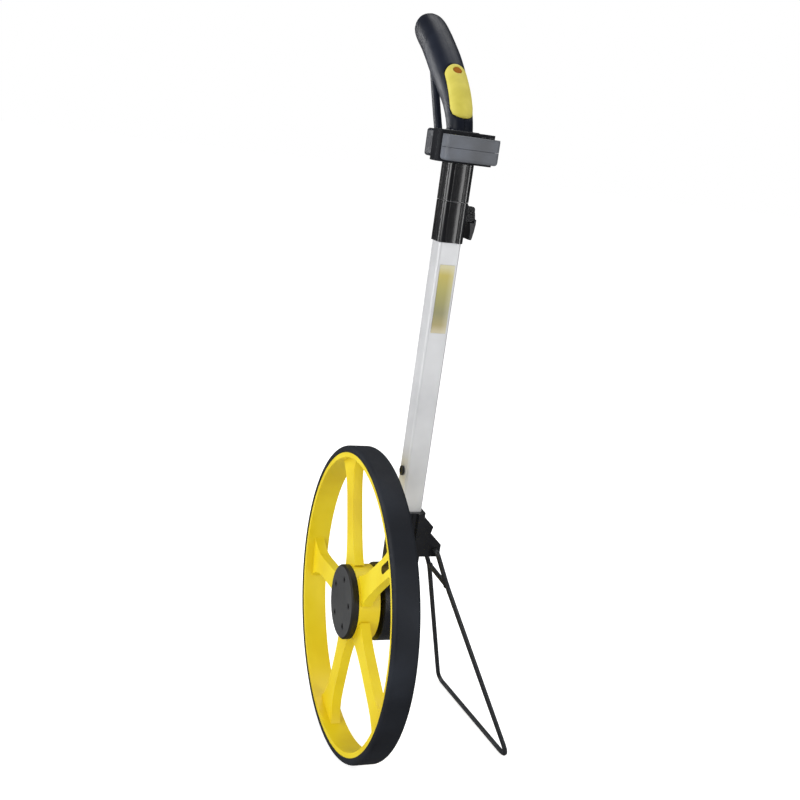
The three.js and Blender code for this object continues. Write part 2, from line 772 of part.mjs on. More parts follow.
// Latch lever: a curved tongue that hangs from its pin and stands off the collar at its foot.
function latchLever() {
  const camTop = pinHeight + leverRoot;
  const rootHalf = earGap - seat;
  const blade = new THREE.Shape();
  blade.moveTo(leverOut - leverThick, leverFoot);
  blade.lineTo(leverOut - leverThick / 3, leverFoot);
  blade.quadraticCurveTo(leverOut + leverLip, earFoot, leverOut, pinHeight);
  blade.lineTo(leverOut - leverLip, camTop);
  blade.lineTo(pinReach - leverLip, camTop);
  blade.lineTo(pinReach - leverLip, earFoot + leverLip);
  blade.quadraticCurveTo(leverOut - leverThick, earFoot, leverOut - leverThick, leverFoot);
  const tongue = plateX(blade, -rootHalf, rootHalf, 4);
  const foot = plateX(blade, -leverWidth / 2, leverWidth / 2, 4);
  const below = block(
    -leverWidth, leverWidth, poleOffset, leverOut + sleeveSize,
    leverFoot - overrun, earFoot - run,
  );
  const proud = block(
    -leverWidth, leverWidth, earReach + run, leverOut + sleeveSize,
    leverFoot - overrun, pinHeight - leverShoulder,
  );
  const wide = join(foot.intersect(below), foot.intersect(proud));
  return cut(
    join(tongue, wide),
    rodX(pinRadius + seat, -leverWidth, leverWidth, pinReach, pinHeight, 12),
  );
}
const latchGroup = new THREE.Group();
add(latchGroup, 'latch_lever', shapeOf(latchLever()), materials.black);

// Stand: one wire from the lug down the near leg, along the ground and up the far leg.
function bendPath(corners, radii) {
  const path = new THREE.CurvePath();
  let from = corners[0];
  for (let i = 1; i < corners.length - 1; i += 1) {
    const corner = corners[i];
    const into = corner.clone().sub(corners[i - 1]).normalize();
    const away = corners[i + 1].clone().sub(corner).normalize();
    const start = corner.clone().addScaledVector(into, -radii[i - 1]);
    const end = corner.clone().addScaledVector(away, radii[i - 1]);
    path.add(new THREE.LineCurve3(from, start));
    path.add(new THREE.QuadraticBezierCurve3(start, corner, end));
    from = end;
  }
  path.add(new THREE.LineCurve3(from, corners[corners.length - 1]));
  return path;
}

function wireAlong(path, steps) {
  const section = new THREE.Shape();
  section.absarc(0, 0, wireRadius, 0, 2 * Math.PI);
  return solid(new THREE.ExtrudeGeometry(section, {
    steps,
    curveSegments: wireSides,
    bevelEnabled: false,
    extrudePath: path,
  }));
}

function standFrame() {
  const at = (x, y, z) => new THREE.Vector3(x, y, z);
  const corners = [
    at(wireEndGrip, hingeReach, hingeHeight),
    at(wireHalfSpan, hingeReach, hingeHeight),
    at(wireHalfSpan, braceReach, braceHeight),
    at(nearFoot[0], nearFoot[1], wireRadius),
    at(farFoot[0], farFoot[1], wireRadius),
    at(-wireHalfSpan, braceReach, braceHeight),
    at(-wireHalfSpan, hingeReach, hingeHeight),
    at(-wireEndGrip, hingeReach, hingeHeight),
  ];
  const radii = [
    shoulderBend / 2, shoulderBend, nearFootBend, farFootBend, shoulderBend, shoulderBend / 2,
  ];
  const frame = wireAlong(bendPath(corners, radii), 76);
  const brace = rodX(wireRadius, -wireHalfSpan, wireHalfSpan, braceReach, braceHeight, 8);
  const ground = block(
    farFoot[0] - sleeveSize, nearFoot[0] + sleeveSize,
    hingeReach, nearFoot[1] + sleeveSize,
    -wireRadius, 0,
  );
  return cut(join(frame, brace), ground);
}
add(standGroup, 'stand_frame', shapeOf(standFrame()), materials.wire);

// Inner tube with its guide plug, and the sleeve that joins it to the handle.
const innerBore = innerTubeSize - 2 * innerTubeWall;
const innerTube = cut(
  post(innerTubeSize, tubeCorner - tubeWall, innerTubeFoot, innerTubeTop),
  post(innerBore, tubeCorner - tubeWall - seat, innerTubeFoot - overrun, innerTubeTop + overrun),
);
add(handleGroup, 'inner_tube', shapeOf(innerTube), materials.aluminium);
const plugCap = post(innerTubeSize + plugWall / 2, tubeCorner - tubeWall,
  innerTubeFoot - plugHeight / 3, innerTubeFoot - seat);
const plugStem = post(innerBore - 2 * seat, tubeCorner - tubeWall - seat,
  innerTubeFoot - plugHeight / 3, innerTubeFoot + plugHeight);
add(handleGroup, 'inner_tube_plug', shapeOf(join(plugCap, plugStem)), materials.black);
const neckSleeve = cut(
  ridgedPost(neckSleeveFoot, unitFoot - seat),
  post(innerTubeSize + 2 * seat, tubeCorner - tubeWall, neckSleeveFoot - overrun, unitFoot + overrun),
);
add(handleGroup, 'neck_sleeve', shapeOf(neckSleeve), materials.black);

// The grip follows a curve that leaves the stem upwards and bends back over the user's side.
// Each station gives its place as shares of the grip's reach and rise, and its size as shares
// of its full half width and half thickness.
const gripReach = 138;
const gripRise = 124;
const gripHalfWidth = 15.5;
const gripHalfThick = 16.5;
const gripBase = 612;
const gripSquareShare = 0.9;
const stationShares = [
  [0.000, 0.000, 0.76, 0.66],
  [-0.035, 0.130, 0.77, 0.68],
  [-0.090, 0.265, 0.80, 0.72],
  [-0.190, 0.405, 0.86, 0.80],
  [-0.335, 0.535, 0.94, 0.92],
  [-0.490, 0.658, 1.00, 1.00],
  [-0.620, 0.755, 1.00, 1.00],
  [-0.750, 0.845, 1.00, 0.98],
  [-0.880, 0.922, 1.00, 0.96],
  [-0.965, 0.963, 0.90, 0.84],
  [-1.005, 0.982, 0.54, 0.50],
];

function gripStation(i) {
  const [along, up] = stationShares[i];
  return new THREE.Vector2(along * gripReach, gripBase + up * gripRise);
}

// Tangent of the grip's curve at a station.
function gripTangent(i) {
  const last = stationShares.length - 1;
  const before = gripStation(Math.max(0, i - 1));
  const after = gripStation(Math.min(last, i + 1));
  return after.sub(before).normalize();
}

// The grip as one closed body, grown or shrunk by an offset. The sections are super-ellipses.
function gripBody(offset, first, last) {
  const rings = [];
  for (let i = first; i <= last; i += 1) {
    const [, , wide, thick] = stationShares[i];
    const centre = gripStation(i);
    const along = gripTangent(i);
    const halfWidth = gripHalfWidth * wide + offset;
    const halfThick = gripHalfThick * thick + offset;
    const points = [];
    for (let k = 0; k < gripSides; k += 1) {
      const angle = (2 * Math.PI * k) / gripSides;
      const cos = Math.cos(angle);
      const sin = Math.sin(angle);
      const side = Math.sign(cos) * Math.abs(cos) ** gripSquareShare * halfWidth;
      const out = Math.sign(sin) * Math.abs(sin) ** gripSquareShare * halfThick;
      points.push(new THREE.Vector3(
        centre.x + out * along.y,
        poleOffset + side,
        centre.y - out * along.x,
      ));
    }
    rings.push(points);
  }
  return loft(rings);
}

// A closed body through rings of points that all have the same count.
function loft(rings) {
  const sides = rings[0].length;
  const places = [];
  const index = [];
  for (const points of rings) for (const point of points) places.push(point.x, point.y, point.z);
  for (let i = 0; i < rings.length - 1; i += 1) {
    for (let k = 0; k < sides; k += 1) {
      const a = i * sides + k;
      const b = i * sides + ((k + 1) % sides);
      index.push(a, b, b + sides, a, b + sides, a + sides);
    }
  }
  const ends = [[0, true], [rings.length - 1, false]];
  for (const [ringAt, first] of ends) {
    const middle = new THREE.Vector3();
    for (const point of rings[ringAt]) middle.addScaledVector(point, 1 / sides);
    const hub = places.length / 3;
    places.push(middle.x, middle.y, middle.z);
    for (let k = 0; k < sides; k += 1) {
      const a = ringAt * sides + k;
      const b = ringAt * sides + ((k + 1) % sides);
      if (first) index.push(hub, b, a);
      else index.push(hub, a, b);
    }
  }
  const geometry = new THREE.BufferGeometry();
  geometry.setAttribute('position', new THREE.Float32BufferAttribute(places, 3));
  geometry.setIndex(index);
  return solid(geometry);
}

// The rear guard closes the loop from the tail up to the underside of the grip.
const guardSink = 6;
const guardFoot = [-60.7, tailTop - guardSink];
const guardHead = [-111, 709];
const guardBowShare = -0.01;
function guardBody(offset) {
  const rings = [];
  const steps = 6;
  const from = new THREE.Vector2(...guardFoot);
  const to = new THREE.Vector2(...guardHead);
  const span = to.clone().sub(from);
  const along = span.clone().normalize();
  for (let i = 0; i <= steps; i += 1) {
    const share = i / steps;
    const bow = Math.sin(Math.PI * share) * guardBowShare * span.length();
    const x = from.x + span.x * share + along.y * bow;
    const z = from.y + span.y * share - along.x * bow;
    const points = [];
    for (let k = 0; k < guardSides; k += 1) {
      const angle = (2 * Math.PI * k) / guardSides;
      const side = Math.cos(angle) * (guardHalfWidth + offset);
      const out = Math.sin(angle) * (guardHalfThick + offset);
      points.push(new THREE.Vector3(x + out * along.y, poleOffset + side, z - out * along.x));
    }
    rings.push(points);
  }
  return loft(rings);
}

// Where the thumb pad and its button sit, on the outer side of the curve.
function gripFrame(share) {
  const last = stationShares.length - 1;
  const place = share * last;
  const low = Math.min(Math.floor(place), last - 1);
  const blend = place - low;
  const centre = gripStation(low).lerp(gripStation(low + 1), blend);
  const along = gripTangent(low).lerp(gripTangent(low + 1), blend).normalize();
  const thick = THREE.MathUtils.lerp(stationShares[low][3], stationShares[low + 1][3], blend);
  const out = new THREE.Vector2(along.y, -along.x);
  return { centre, along, out, reach: gripHalfThick * thick };
}

const padPlace = gripFrame(padShare);
const padTurn = new THREE.Matrix4().makeBasis(
  new THREE.Vector3(padPlace.along.x, 0, padPlace.along.y),
  new THREE.Vector3(0, 1, 0),
  new THREE.Vector3(-padPlace.out.x, 0, -padPlace.out.y),
);

// A long oval cutter that stands square to the pad, from inside the grip to well outside it.
function padOval(clearance) {
  const length = padLong - 2 * clearance;
  const across = padAcross - 2 * clearance;
  const shape = roundRect(-length / 2, length / 2, -across / 2, across / 2, across / 2 - seat / 3);
  const depth = 2 * gripHalfThick;
  const geometry = new THREE.ExtrudeGeometry(shape, { depth, bevelEnabled: false, curveSegments: 6 });
  geometry.translate(0, 0, -depth - padPlace.reach / 4);
  geometry.applyMatrix4(padTurn);
  geometry.translate(padPlace.centre.x, poleOffset, padPlace.centre.y);
  return solid(geometry);
}

// The button works along the pad's outward direction, near the pad's upper end.
const buttonShift = (padLong / 2) * buttonShare - buttonRadius;
const buttonFoot = new THREE.Vector2()
  .copy(padPlace.centre)
  .addScaledVector(padPlace.along, buttonShift);
function surfaceReach(shift) {
  let reach = padPlace.reach;
  for (let share = padShare; share < 1; share += 1 / 200) {
    const frame = gripFrame(share);
    const skin = frame.centre.clone().addScaledVector(frame.out, frame.reach).sub(padPlace.centre);
    if (skin.dot(padPlace.along) > shift) break;
    reach = skin.dot(padPlace.out);
  }
  return reach;
}
const buttonReach = surfaceReach(buttonShift);

function buttonRod(radius, from, to, sides = 20) {
  const geometry = new THREE.CylinderGeometry(radius, radius, to - from, sides);
  geometry.rotateX(Math.PI / 2);
  geometry.translate(0, 0, -(from + to) / 2);
  geometry.applyMatrix4(padTurn);
  geometry.translate(buttonFoot.x, poleOffset, buttonFoot.y);
  return solid(geometry);
}

const gripLast = stationShares.length - 1;
const stemBody = plateZ(
  roundRect(stemBack, stemFront, poleOffset - stemHalfWidth, poleOffset + stemHalfWidth, stemCorner),
  unitFoot, unitTop + run,
);
const tailBody = plateX(
  roundRect(poleOffset - tailHalfWidth, poleOffset + tailHalfWidth, tailFoot, tailTop, tailCorner),
  tailEnd, stemBack + stemCorner,
);
const padSkin = gripBody(padRise, 1, gripLast);
const padBed = gripBody(-padDepth, 1, gripLast);
const padSeatBody = gripBody(-padDepth + seat, 1, gripLast);
const gripScrewShares = [0.86, 0.62];
const gripScrewPlaces = gripScrewShares.map((share) => gripFrame(share).centre);

function gripWhole() {
  const outer = join(stemBody, tailBody, gripBody(0, 1, gripLast), guardBody(0));
  const batteryBay = block(
    tailEnd - overrun, stemBack - tailWall,
    poleOffset - batteryRadius - 2 * seat, poleOffset + batteryRadius + 2 * seat,
    tailFoot + tailWall, tailTop - tailWall,
  );
  const tubeBay = post(innerTubeSize + 2 * seat, tubeCorner - tubeWall, unitFoot - overrun, innerTubeTop + seat);
  const inner = gripBody(-gripWall, 3, gripLast - 1);
  let body = cut(outer, tubeBay, batteryBay, inner);
  for (const place of gripScrewPlaces) {
    body = body.add(rodY(armScrewBoss, poleOffset - gripHalfWidth + gripWall / 2,
      poleOffset + gripHalfWidth - gripWall / 2, place.x, place.y, 12));
  }
  const recess = padOval(0).subtract(padSeatBody);
  return cut(
    body, recess,
    buttonRod(buttonRadius + seat, buttonReach - buttonDepth - overrun, buttonReach + overrun),
    buttonRod(
      buttonRadius + buttonFlange + seat, buttonReach - buttonDepth - overrun,
      buttonReach - gripWall - padDepth,
    ),
  );
}

const wholeGrip = gripWhole();
const farX = gripReach + sleeveSize;
const farZ = gripBase + gripRise + sleeveSize;
const leftHalf = block(-farX, farX, poleOffset - 2 * stemHalfWidth, splitInner, unitFoot - overrun, farZ);
const rightHalf = block(-farX, farX, splitOuter, poleOffset + 2 * stemHalfWidth, unitFoot - overrun, farZ);
let gripLeft = wholeGrip.intersect(leftHalf);
let gripRight = wholeGrip.intersect(rightHalf);
const gripScrewFaces = gripScrewPlaces.map(() => poleOffset + gripHalfWidth - gripScrewSink);
gripScrewPlaces.forEach((place, i) => {
  const face = gripScrewFaces[i];
  const shank = rodY(gripScrewShank + seat, face - gripScrewLength - screwHeadHeight - seat, face,
    place.x, place.y, 12);
  const well = rodY(gripScrewHead + seat, face - screwHeadHeight - seat, poleOffset + 2 * gripHalfWidth,
    place.x, place.y, 16);
  gripLeft = cut(gripLeft, shank);
  gripRight = cut(gripRight, shank, well);
});
add(handleGroup, 'grip_left_shell', shapeOf(gripLeft), materials.black);
add(handleGroup, 'grip_right_shell', shapeOf(gripRight), materials.black);
gripScrewPlaces.forEach((place, i) => {
  const screw = screwY(gripScrewHead, screwHeadHeight, gripScrewShank, gripScrewLength,
    place.x, place.y, gripScrewFaces[i], -1);
  add(handleGroup, `grip_screw_${i + 1}`, shapeOf(screw), materials.steel);
});

// Thumb pad, let into the outer side of the grip, with its button.
const thumbPad = cut(
  padOval(seat).intersect(padSkin),
  gripBody(-padDepth + 2 * seat, 1, gripLast),
  buttonRod(buttonRadius + seat, -gripHalfThick, buttonReach + 3 * gripHalfThick),
);
add(handleGroup, 'thumb_pad', shapeOf(thumbPad), materials.pad);
const buttonGroup = new THREE.Group();
const thumbButton = join(
  buttonRod(buttonRadius, buttonReach - buttonDepth, buttonReach + buttonProud),
  buttonRod(
    buttonRadius + buttonFlange, buttonReach - buttonDepth + seat,
    buttonReach - gripWall - padDepth - seat,
  ),
);
add(buttonGroup, 'thumb_button', shapeOf(thumbButton), materials.orange);

// Two cells in the tail, one above the other, and the hinged door behind them.
const cellFront = stemBack - tailWall - seat;
const cellFoot = tailFoot + tailWall + seat;
for (let i = 0; i < 2; i += 1) {
  const cellHeight = cellFoot + batteryRadius + i * (2 * batteryRadius + 2 * seat);
  const cell = rodX(batteryRadius, cellFront - batteryLength, cellFront, poleOffset, cellHeight, 16);
  add(handleGroup, `battery_cell_${i + 1}`, shapeOf(cell), materials.steel);
}
const doorGroup = new THREE.Group();
const doorFront = tailEnd - seat;
const door = plateX(
  roundRect(poleOffset - tailHalfWidth, poleOffset + tailHalfWidth, tailFoot, tailTop, tailCorner),
  doorFront - doorThick, doorFront,
);
add(doorGroup, 'battery_door', shapeOf(door), materials.black);

// Rear case of the display: two wings joined by a front wall round the stem.
function rearCase() {
  const low = poleOffset - caseHalfWidth;
  const high = poleOffset + caseHalfWidth;
  const outer = plateZ(roundRect(caseBack, caseFront, low, high, caseCorner), unitFoot, unitTop);
  const stemHole = block(
    caseBack - overrun, stemFront + seat,
    poleOffset - stemHalfWidth - seat, poleOffset + stemHalfWidth + seat,
    unitFoot - overrun, unitTop + overrun,
  );
  const hollows = [-1, 1].map((side) => {
    const near = poleOffset + side * (stemHalfWidth + seat + caseWall);
    const far = poleOffset + side * (caseHalfWidth - caseWall);
    return block(
      caseBack + caseWall, caseFront - caseWall,
      Math.min(near, far), Math.max(near, far),
      unitFoot - overrun, unitTop - caseWall,
    );
  });
  return cut(outer, stemHole, ...hollows);
}
add(handleGroup, 'display_rear_case', shapeOf(rearCase()), materials.black);

// Front case in two halves, with the board, the screen, its window and two keys.
const frontBack = caseFront + seat;
const frontLow = poleOffset - frontHalfWidth;
const frontHigh = poleOffset + frontHalfWidth;
const innerX0 = frontBack + caseWall;
const innerX1 = frontReach - caseWall;
const innerY0 = frontLow + caseWall;
const innerY1 = frontHigh - caseWall;
const middleX = (frontBack + frontReach) / 2;
const windowY0 = poleOffset + windowShift - windowLength / 2;
const windowY1 = poleOffset + windowShift + windowLength / 2;
const screenTop = frontTop - caseWall - seat;
const boardTop = screenTop - 2 * boardThick - seat;

function frontUpper() {
  const outer = plateZ(roundRect(frontBack, frontReach, frontLow, frontHigh, frontCorner),
    frontSplit + seat / 2, frontTop);
  const hollow = block(innerX0, innerX1, innerY0, innerY1, frontSplit - overrun, frontTop - caseWall);
  const ledge = block(
    middleX - windowWidth / 2, middleX + windowWidth / 2, windowY0, windowY1,
    frontTop - windowThick - seat, frontTop + overrun,
  );
  const sight = block(
    middleX - windowWidth / 2 + windowLedge, middleX + windowWidth / 2 - windowLedge,
    windowY0 + windowLedge, windowY1 - windowLedge,
    frontTop - 2 * caseWall, frontTop + overrun,
  );
  const keyHoles = keyShifts.map((shift) => rodZ(
    keyRadius + seat, frontTop - 2 * caseWall, frontTop + overrun, middleX, poleOffset + shift, 16,
  ));
  return cut(outer, hollow, ledge, sight, ...keyHoles);
}

function frontLower() {
  const outer = plateZ(roundRect(frontBack, frontReach, frontLow, frontHigh, frontCorner),
    frontFoot, frontSplit - seat / 2);
  const hollow = block(innerX0, innerX1, innerY0, innerY1, frontFoot + caseWall, frontSplit + overrun);
  return cut(outer, hollow);
}
add(handleGroup, 'display_upper_case', shapeOf(frontUpper()), materials.grey);
add(handleGroup, 'display_lower_case', shapeOf(frontLower()), materials.grey);
const windowPane = block(
  middleX - windowWidth / 2 + seat, middleX + windowWidth / 2 - seat,
  windowY0 + seat, windowY1 - seat,
  frontTop - windowThick, frontTop,
);
add(handleGroup, 'display_window', shapeOf(windowPane), materials.glass);
const screen = block(
  innerX0 + seat, innerX1 - seat, windowY0, windowY1,
  screenTop - boardThick, screenTop,
);
add(handleGroup, 'display_screen', shapeOf(screen), materials.glass);
const circuit = block(
  innerX0 + seat, innerX1 - seat, innerY0 + seat, innerY1 - seat,
  boardTop - boardThick, boardTop,
);
add(handleGroup, 'display_board', shapeOf(circuit), materials.board);
const keyGroups = keyShifts.map((shift, i) => {
  const group = new THREE.Group();
  const flangeTop = frontTop - caseWall - seat;
  const y = poleOffset + shift;
  const key = join(
    rodZ(keyRadius, flangeTop - keyFlangeThick, frontTop + keyProud, middleX, y, 16),
    rodZ(keyRadius + keyFlange, flangeTop - keyFlangeThick, flangeTop, middleX, y, 16),
  );
  add(group, `display_key_${i + 1}`, shapeOf(key), materials.pad);
  return group;
});

const measuringWheel = new THREE.Group();
handleGroup.add(buttonGroup, doorGroup, ...keyGroups);
frameGroup.add(latchGroup);
measuringWheel.add(wheelGroup, frameGroup, standGroup, handleGroup);

export default measuringWheel;
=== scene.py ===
# %% [markdown]
# # A measuring wheel, dressed for its picture
# The solids of the tool come in ready made, and this script gives them their looks. It sets the
# camera and the light, makes one material for each real finish, softens the edges of the
# moulded parts, and models the pieces that need finer shapes than the solids have.

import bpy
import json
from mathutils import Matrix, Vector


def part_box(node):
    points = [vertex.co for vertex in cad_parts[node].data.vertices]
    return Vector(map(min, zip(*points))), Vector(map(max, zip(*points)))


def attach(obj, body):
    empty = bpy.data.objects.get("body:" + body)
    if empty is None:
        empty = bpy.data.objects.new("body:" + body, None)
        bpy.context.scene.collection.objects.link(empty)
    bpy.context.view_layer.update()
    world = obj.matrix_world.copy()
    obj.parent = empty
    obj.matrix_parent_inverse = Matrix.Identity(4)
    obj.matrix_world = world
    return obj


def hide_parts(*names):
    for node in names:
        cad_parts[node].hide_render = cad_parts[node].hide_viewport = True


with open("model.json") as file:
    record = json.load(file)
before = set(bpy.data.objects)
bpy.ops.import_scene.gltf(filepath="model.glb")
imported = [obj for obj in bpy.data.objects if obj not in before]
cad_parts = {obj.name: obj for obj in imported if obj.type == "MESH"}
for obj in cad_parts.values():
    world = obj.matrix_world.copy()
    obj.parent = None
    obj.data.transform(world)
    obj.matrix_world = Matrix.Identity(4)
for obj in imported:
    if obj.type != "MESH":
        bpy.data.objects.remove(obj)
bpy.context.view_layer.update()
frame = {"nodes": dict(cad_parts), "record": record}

# %% [markdown]
# ## Sizes that everything follows
# Blender counts in metres, and small tools are easier to think of in millimetres, so every length
# below is in millimetres and is multiplied by MM where it enters Blender. The tool rolls along X
# and its axle lies along Y. The tread is one metre round, which gives its radius, and the pole
# stands above the arm, beside the wheel. The grip splits along the middle of the pole.

# %% Driving sizes
import bpy
import bmesh
import json
import math
from mathutils import Matrix, Vector

MM = 0.001
tread_radius = 159.155
axle_z = tread_radius
pole_y = 44.3
split_y = 44.35
print("axle at", axle_z, "mm up, pole at", pole_y, "mm along the axle")

# %% [markdown]
# ## Camera
# The tool stands on its tread and its stand. The picture was taken from the front left, a little
# above the middle, with a normal lens. The view is rolled by 8 degrees, because the real tool
# leans on its stand while this one stands straight. The three directions of a camera are written
# as the columns of a matrix: right, up and back.

# %% Camera
eye = Vector((953.1, -338.4, 640.5)) * MM
look = Vector((-0.9058, 0.3402, -0.2526)).normalized()
up = Vector((-0.2827, -0.0413, 0.9583))
right = look.cross(up).normalized()
up = right.cross(look).normalized()

lens = bpy.data.cameras.new("camera")
lens.lens = 48.4
lens.sensor_width = 36
lens.clip_start = 0.02
lens.clip_end = 60
camera = bpy.data.objects.new("camera", lens)
camera.matrix_world = Matrix.Translation(eye) @ Matrix((right, up, -look)).transposed().to_4x4()
scene = bpy.context.scene
scene.collection.objects.link(camera)
scene.camera = camera
print("camera at", [round(v, 3) for v in eye], "lens", lens.lens)

# %% [markdown]
# ## One way to add a shader node
# Every material below is a short chain of nodes. This helper adds one node, sets its settings
# and the values on its sockets, and links its inputs. A link comes from one socket, or from the
# first output of a node. A colour ramp also gets its stops here. Colours are written as the hex
# values that a painter would pick from a screen, and turned to linear light. Most values of a
# noise lie between 0.3 and 0.7, a span that is stretched where a noise steers the gloss.

# %% Helpers for materials
noise_span = {"From Min": 0.3, "From Max": 0.7}


def linear(code):
    channels = [int(code[i:i + 2], 16) / 255 for i in (0, 2, 4)]
    return tuple(c / 12.92 if c <= 0.04045 else ((c + 0.055) / 1.055) ** 2.4 for c in channels) + (1.0,)


def node(tree, kind, values=None, links=None, stops=(), **settings):
    made = tree.nodes.new(kind)
    for name, value in settings.items():
        setattr(made, name, value)
    for name, value in (values or {}).items():
        made.inputs[name].default_value = value
    for name, source in (links or {}).items():
        tree.links.new(source.outputs[0] if hasattr(source, "outputs") else source, made.inputs[name])
    if stops:
        points = made.color_ramp.elements
        while len(points) < len(stops):
            points.new(0.5)
        for point, (at, code) in zip(points, stops):
            point.position = at
            point.color = linear(code)
    return made


def blank(name):
    material = bpy.data.materials.new(name)
    material.use_nodes = True
    tree = material.node_tree
    tree.nodes.clear()
    return material, tree, node(tree, "ShaderNodeTexCoord").outputs["Object"]


def close(tree, shader):
    node(tree, "ShaderNodeOutputMaterial", links={"Surface": shader})


print("sRGB f2cf17 in linear light:", [round(v, 3) for v in linear("f2cf17")])

# %% [markdown]
# ## Moulded plastics and rubber
# Most of the tool is injection-moulded. Such a surface is never one flat colour: the melt flows
# unevenly, so the tone drifts over a few centimetres, and the steel mould is spark-eroded, which
# leaves a fine even grain. One recipe makes them all: a slow noise for the drift, a fast noise
# for the grain in the bump, and a middling noise that lets the gloss vary where hands rub it.
# Grain finer than about 0.4 mm would vanish in the picture, so it is drawn a little coarse.

# %% The recipe for a moulding
def moulded(name, tones, roughness, relief_mm, grain_mm=0.6, drift_mm=60, shine=0.5):
    material, tree, place = blank(name)
    drift = node(tree, "ShaderNodeTexNoise",
                 {"Scale": 1 / (drift_mm * MM), "Detail": 3.0}, {"Vector": place})
    rub = node(tree, "ShaderNodeTexNoise",
               {"Scale": 1 / (drift_mm * MM / 4), "Detail": 5.0, "Roughness": 0.6}, {"Vector": place})
    grain = node(tree, "ShaderNodeTexNoise",
                 {"Scale": 1 / (grain_mm * MM), "Detail": 2.0}, {"Vector": place})
    colour = node(tree, "ShaderNodeValToRGB", links={"Fac": drift}, stops=list(zip((0.3, 0.5, 0.72), tones)))
    gloss = node(tree, "ShaderNodeMapRange",
                 {**noise_span, "To Min": roughness - 0.06, "To Max": roughness + 0.07},
                 {"Value": rub})
    relief = node(tree, "ShaderNodeBump", {"Strength": 0.35, "Distance": relief_mm * MM}, {"Height": grain})
    close(tree, node(tree, "ShaderNodeBsdfPrincipled", {"IOR": 1.5, "Specular IOR Level": shine},
                     {"Base Color": colour, "Roughness": gloss, "Normal": relief}))
    return material


print("a drift of 60 mm is noise at scale", round(1 / (60 * MM), 1))

# %% [markdown]
# ## Finishes of the wheel
# Tread rubber is loaded with carbon black: almost black, slightly blue, and matt. The wheel is ABS
# dyed through in a warm signal yellow. The face of the hub cap has a spark-eroded matt grain, while
# its side is smoother and painted darker, as painted shade. The screws in it are blackened steel and
# so small that they read as dark dots. One spoke has a slot, whose walls get a painted shade of dark yellow.

# %% Finishes of the wheel
tread_rubber = moulded("tread_rubber", ("15181f", "1b1f27", "252a33"),
                       roughness=0.6, grain_mm=0.7, relief_mm=0.10, shine=0.3)
yellow_abs = moulded("yellow_abs", ("d9bb10", "e5cc1b", "eeda31"),
                     roughness=0.36, relief_mm=0.03, drift_mm=90, shine=0.4)
cap_abs = moulded("cap_abs", ("353637", "3e3f40", "474849"),
                  roughness=0.52, relief_mm=0.08, shine=0.35)
# The darker tone of the cap's side is painted shade; its smoother gloss is the mould's own.
cap_side_painted_shade = moulded("cap_side_painted_shade", ("121110", "1b1a17", "242320"),
                   roughness=0.5, relief_mm=0.04, shine=0.3)
black_oxide = moulded("black_oxide", ("08090b", "0d0e11", "16181b"),
                      roughness=0.4, grain_mm=0.4, relief_mm=0.02, drift_mm=4)
# The dark yellow of the slot walls is painted shade for the depth of the slot.
slot_painted_shade = moulded("slot_painted_shade", ("3a2f04", "5a4a08", "75620f"),
                    roughness=0.7, grain_mm=0.7, relief_mm=0.08, drift_mm=8)
print("finishes of the wheel made")

# %% [markdown]
# ## Finishes of the arm and the handle
# Glass-filled nylon makes the arm and the latch: black, with a satin shine. The grip is ABS with
# a soft-touch paint, a dark blue-black whose shine is dull and broad. The thumb pad is a soft
# elastomer in a greenish yellow, and its button is a small matt moulding in orange-brown.

# %% Finishes of the arm and the handle
black_nylon = moulded("black_nylon", ("101116", "16171c", "1d1f24"),
                      roughness=0.3, grain_mm=0.5, relief_mm=0.03, shine=0.4)
grip_softtouch = moulded("grip_softtouch", ("12151e", "171b26", "1f2431"),
                         roughness=0.4, relief_mm=0.04, shine=0.16)
pad_elastomer = moulded("pad_elastomer", ("c4b848", "d2c656", "dfd26a"),
                        roughness=0.6, grain_mm=0.8, relief_mm=0.12, drift_mm=25, shine=0.35)
button_orange = moulded("button_orange", ("8a5000", "9c5c00", "ad6a00"),
                        roughness=0.55, grain_mm=0.5, relief_mm=0.02, drift_mm=12, shine=0.1)
print("finishes of the handle made")

# %% [markdown]
# ## Finishes of the display unit
# The front cases are grey ABS. The case behind them is black and rather matt, with a dark grey
# top. The screen is glass over a grey-green panel.

# %% Finishes of the display unit
grey_abs = moulded("grey_abs", ("585a5e", "62656b", "6c717b"),
                   roughness=0.46, relief_mm=0.05, drift_mm=35, shine=0.25)
case_black = moulded("case_black", ("101116", "16171c", "1d1f24"),
                     roughness=0.5, relief_mm=0.05, drift_mm=30, shine=0.15)
lid_abs = moulded("lid_abs", ("47494c", "535558", "5e6063"),
                  roughness=0.45, relief_mm=0.05, drift_mm=20)
screen_glass = moulded("screen_glass", ("8a9885", "95a390", "a0ae9a"),
                       roughness=0.22, relief_mm=0.005, drift_mm=30)
print("finishes of the display made")

# %% [markdown]
# ## A crowned black gloss
# The collar and the neck sleeve are the glossiest parts. Their faces are slightly crowned, which
# draws a lamp's reflection into an upright streak. The crown is too shallow to model, so the bump
# carries it: its height falls with the square of the distance from the middle line of the pole,
# as on a round of 30 mm radius.

# %% Gloss of the sleeve and collar
crown_radius = 30
gloss_drift_mm = 30


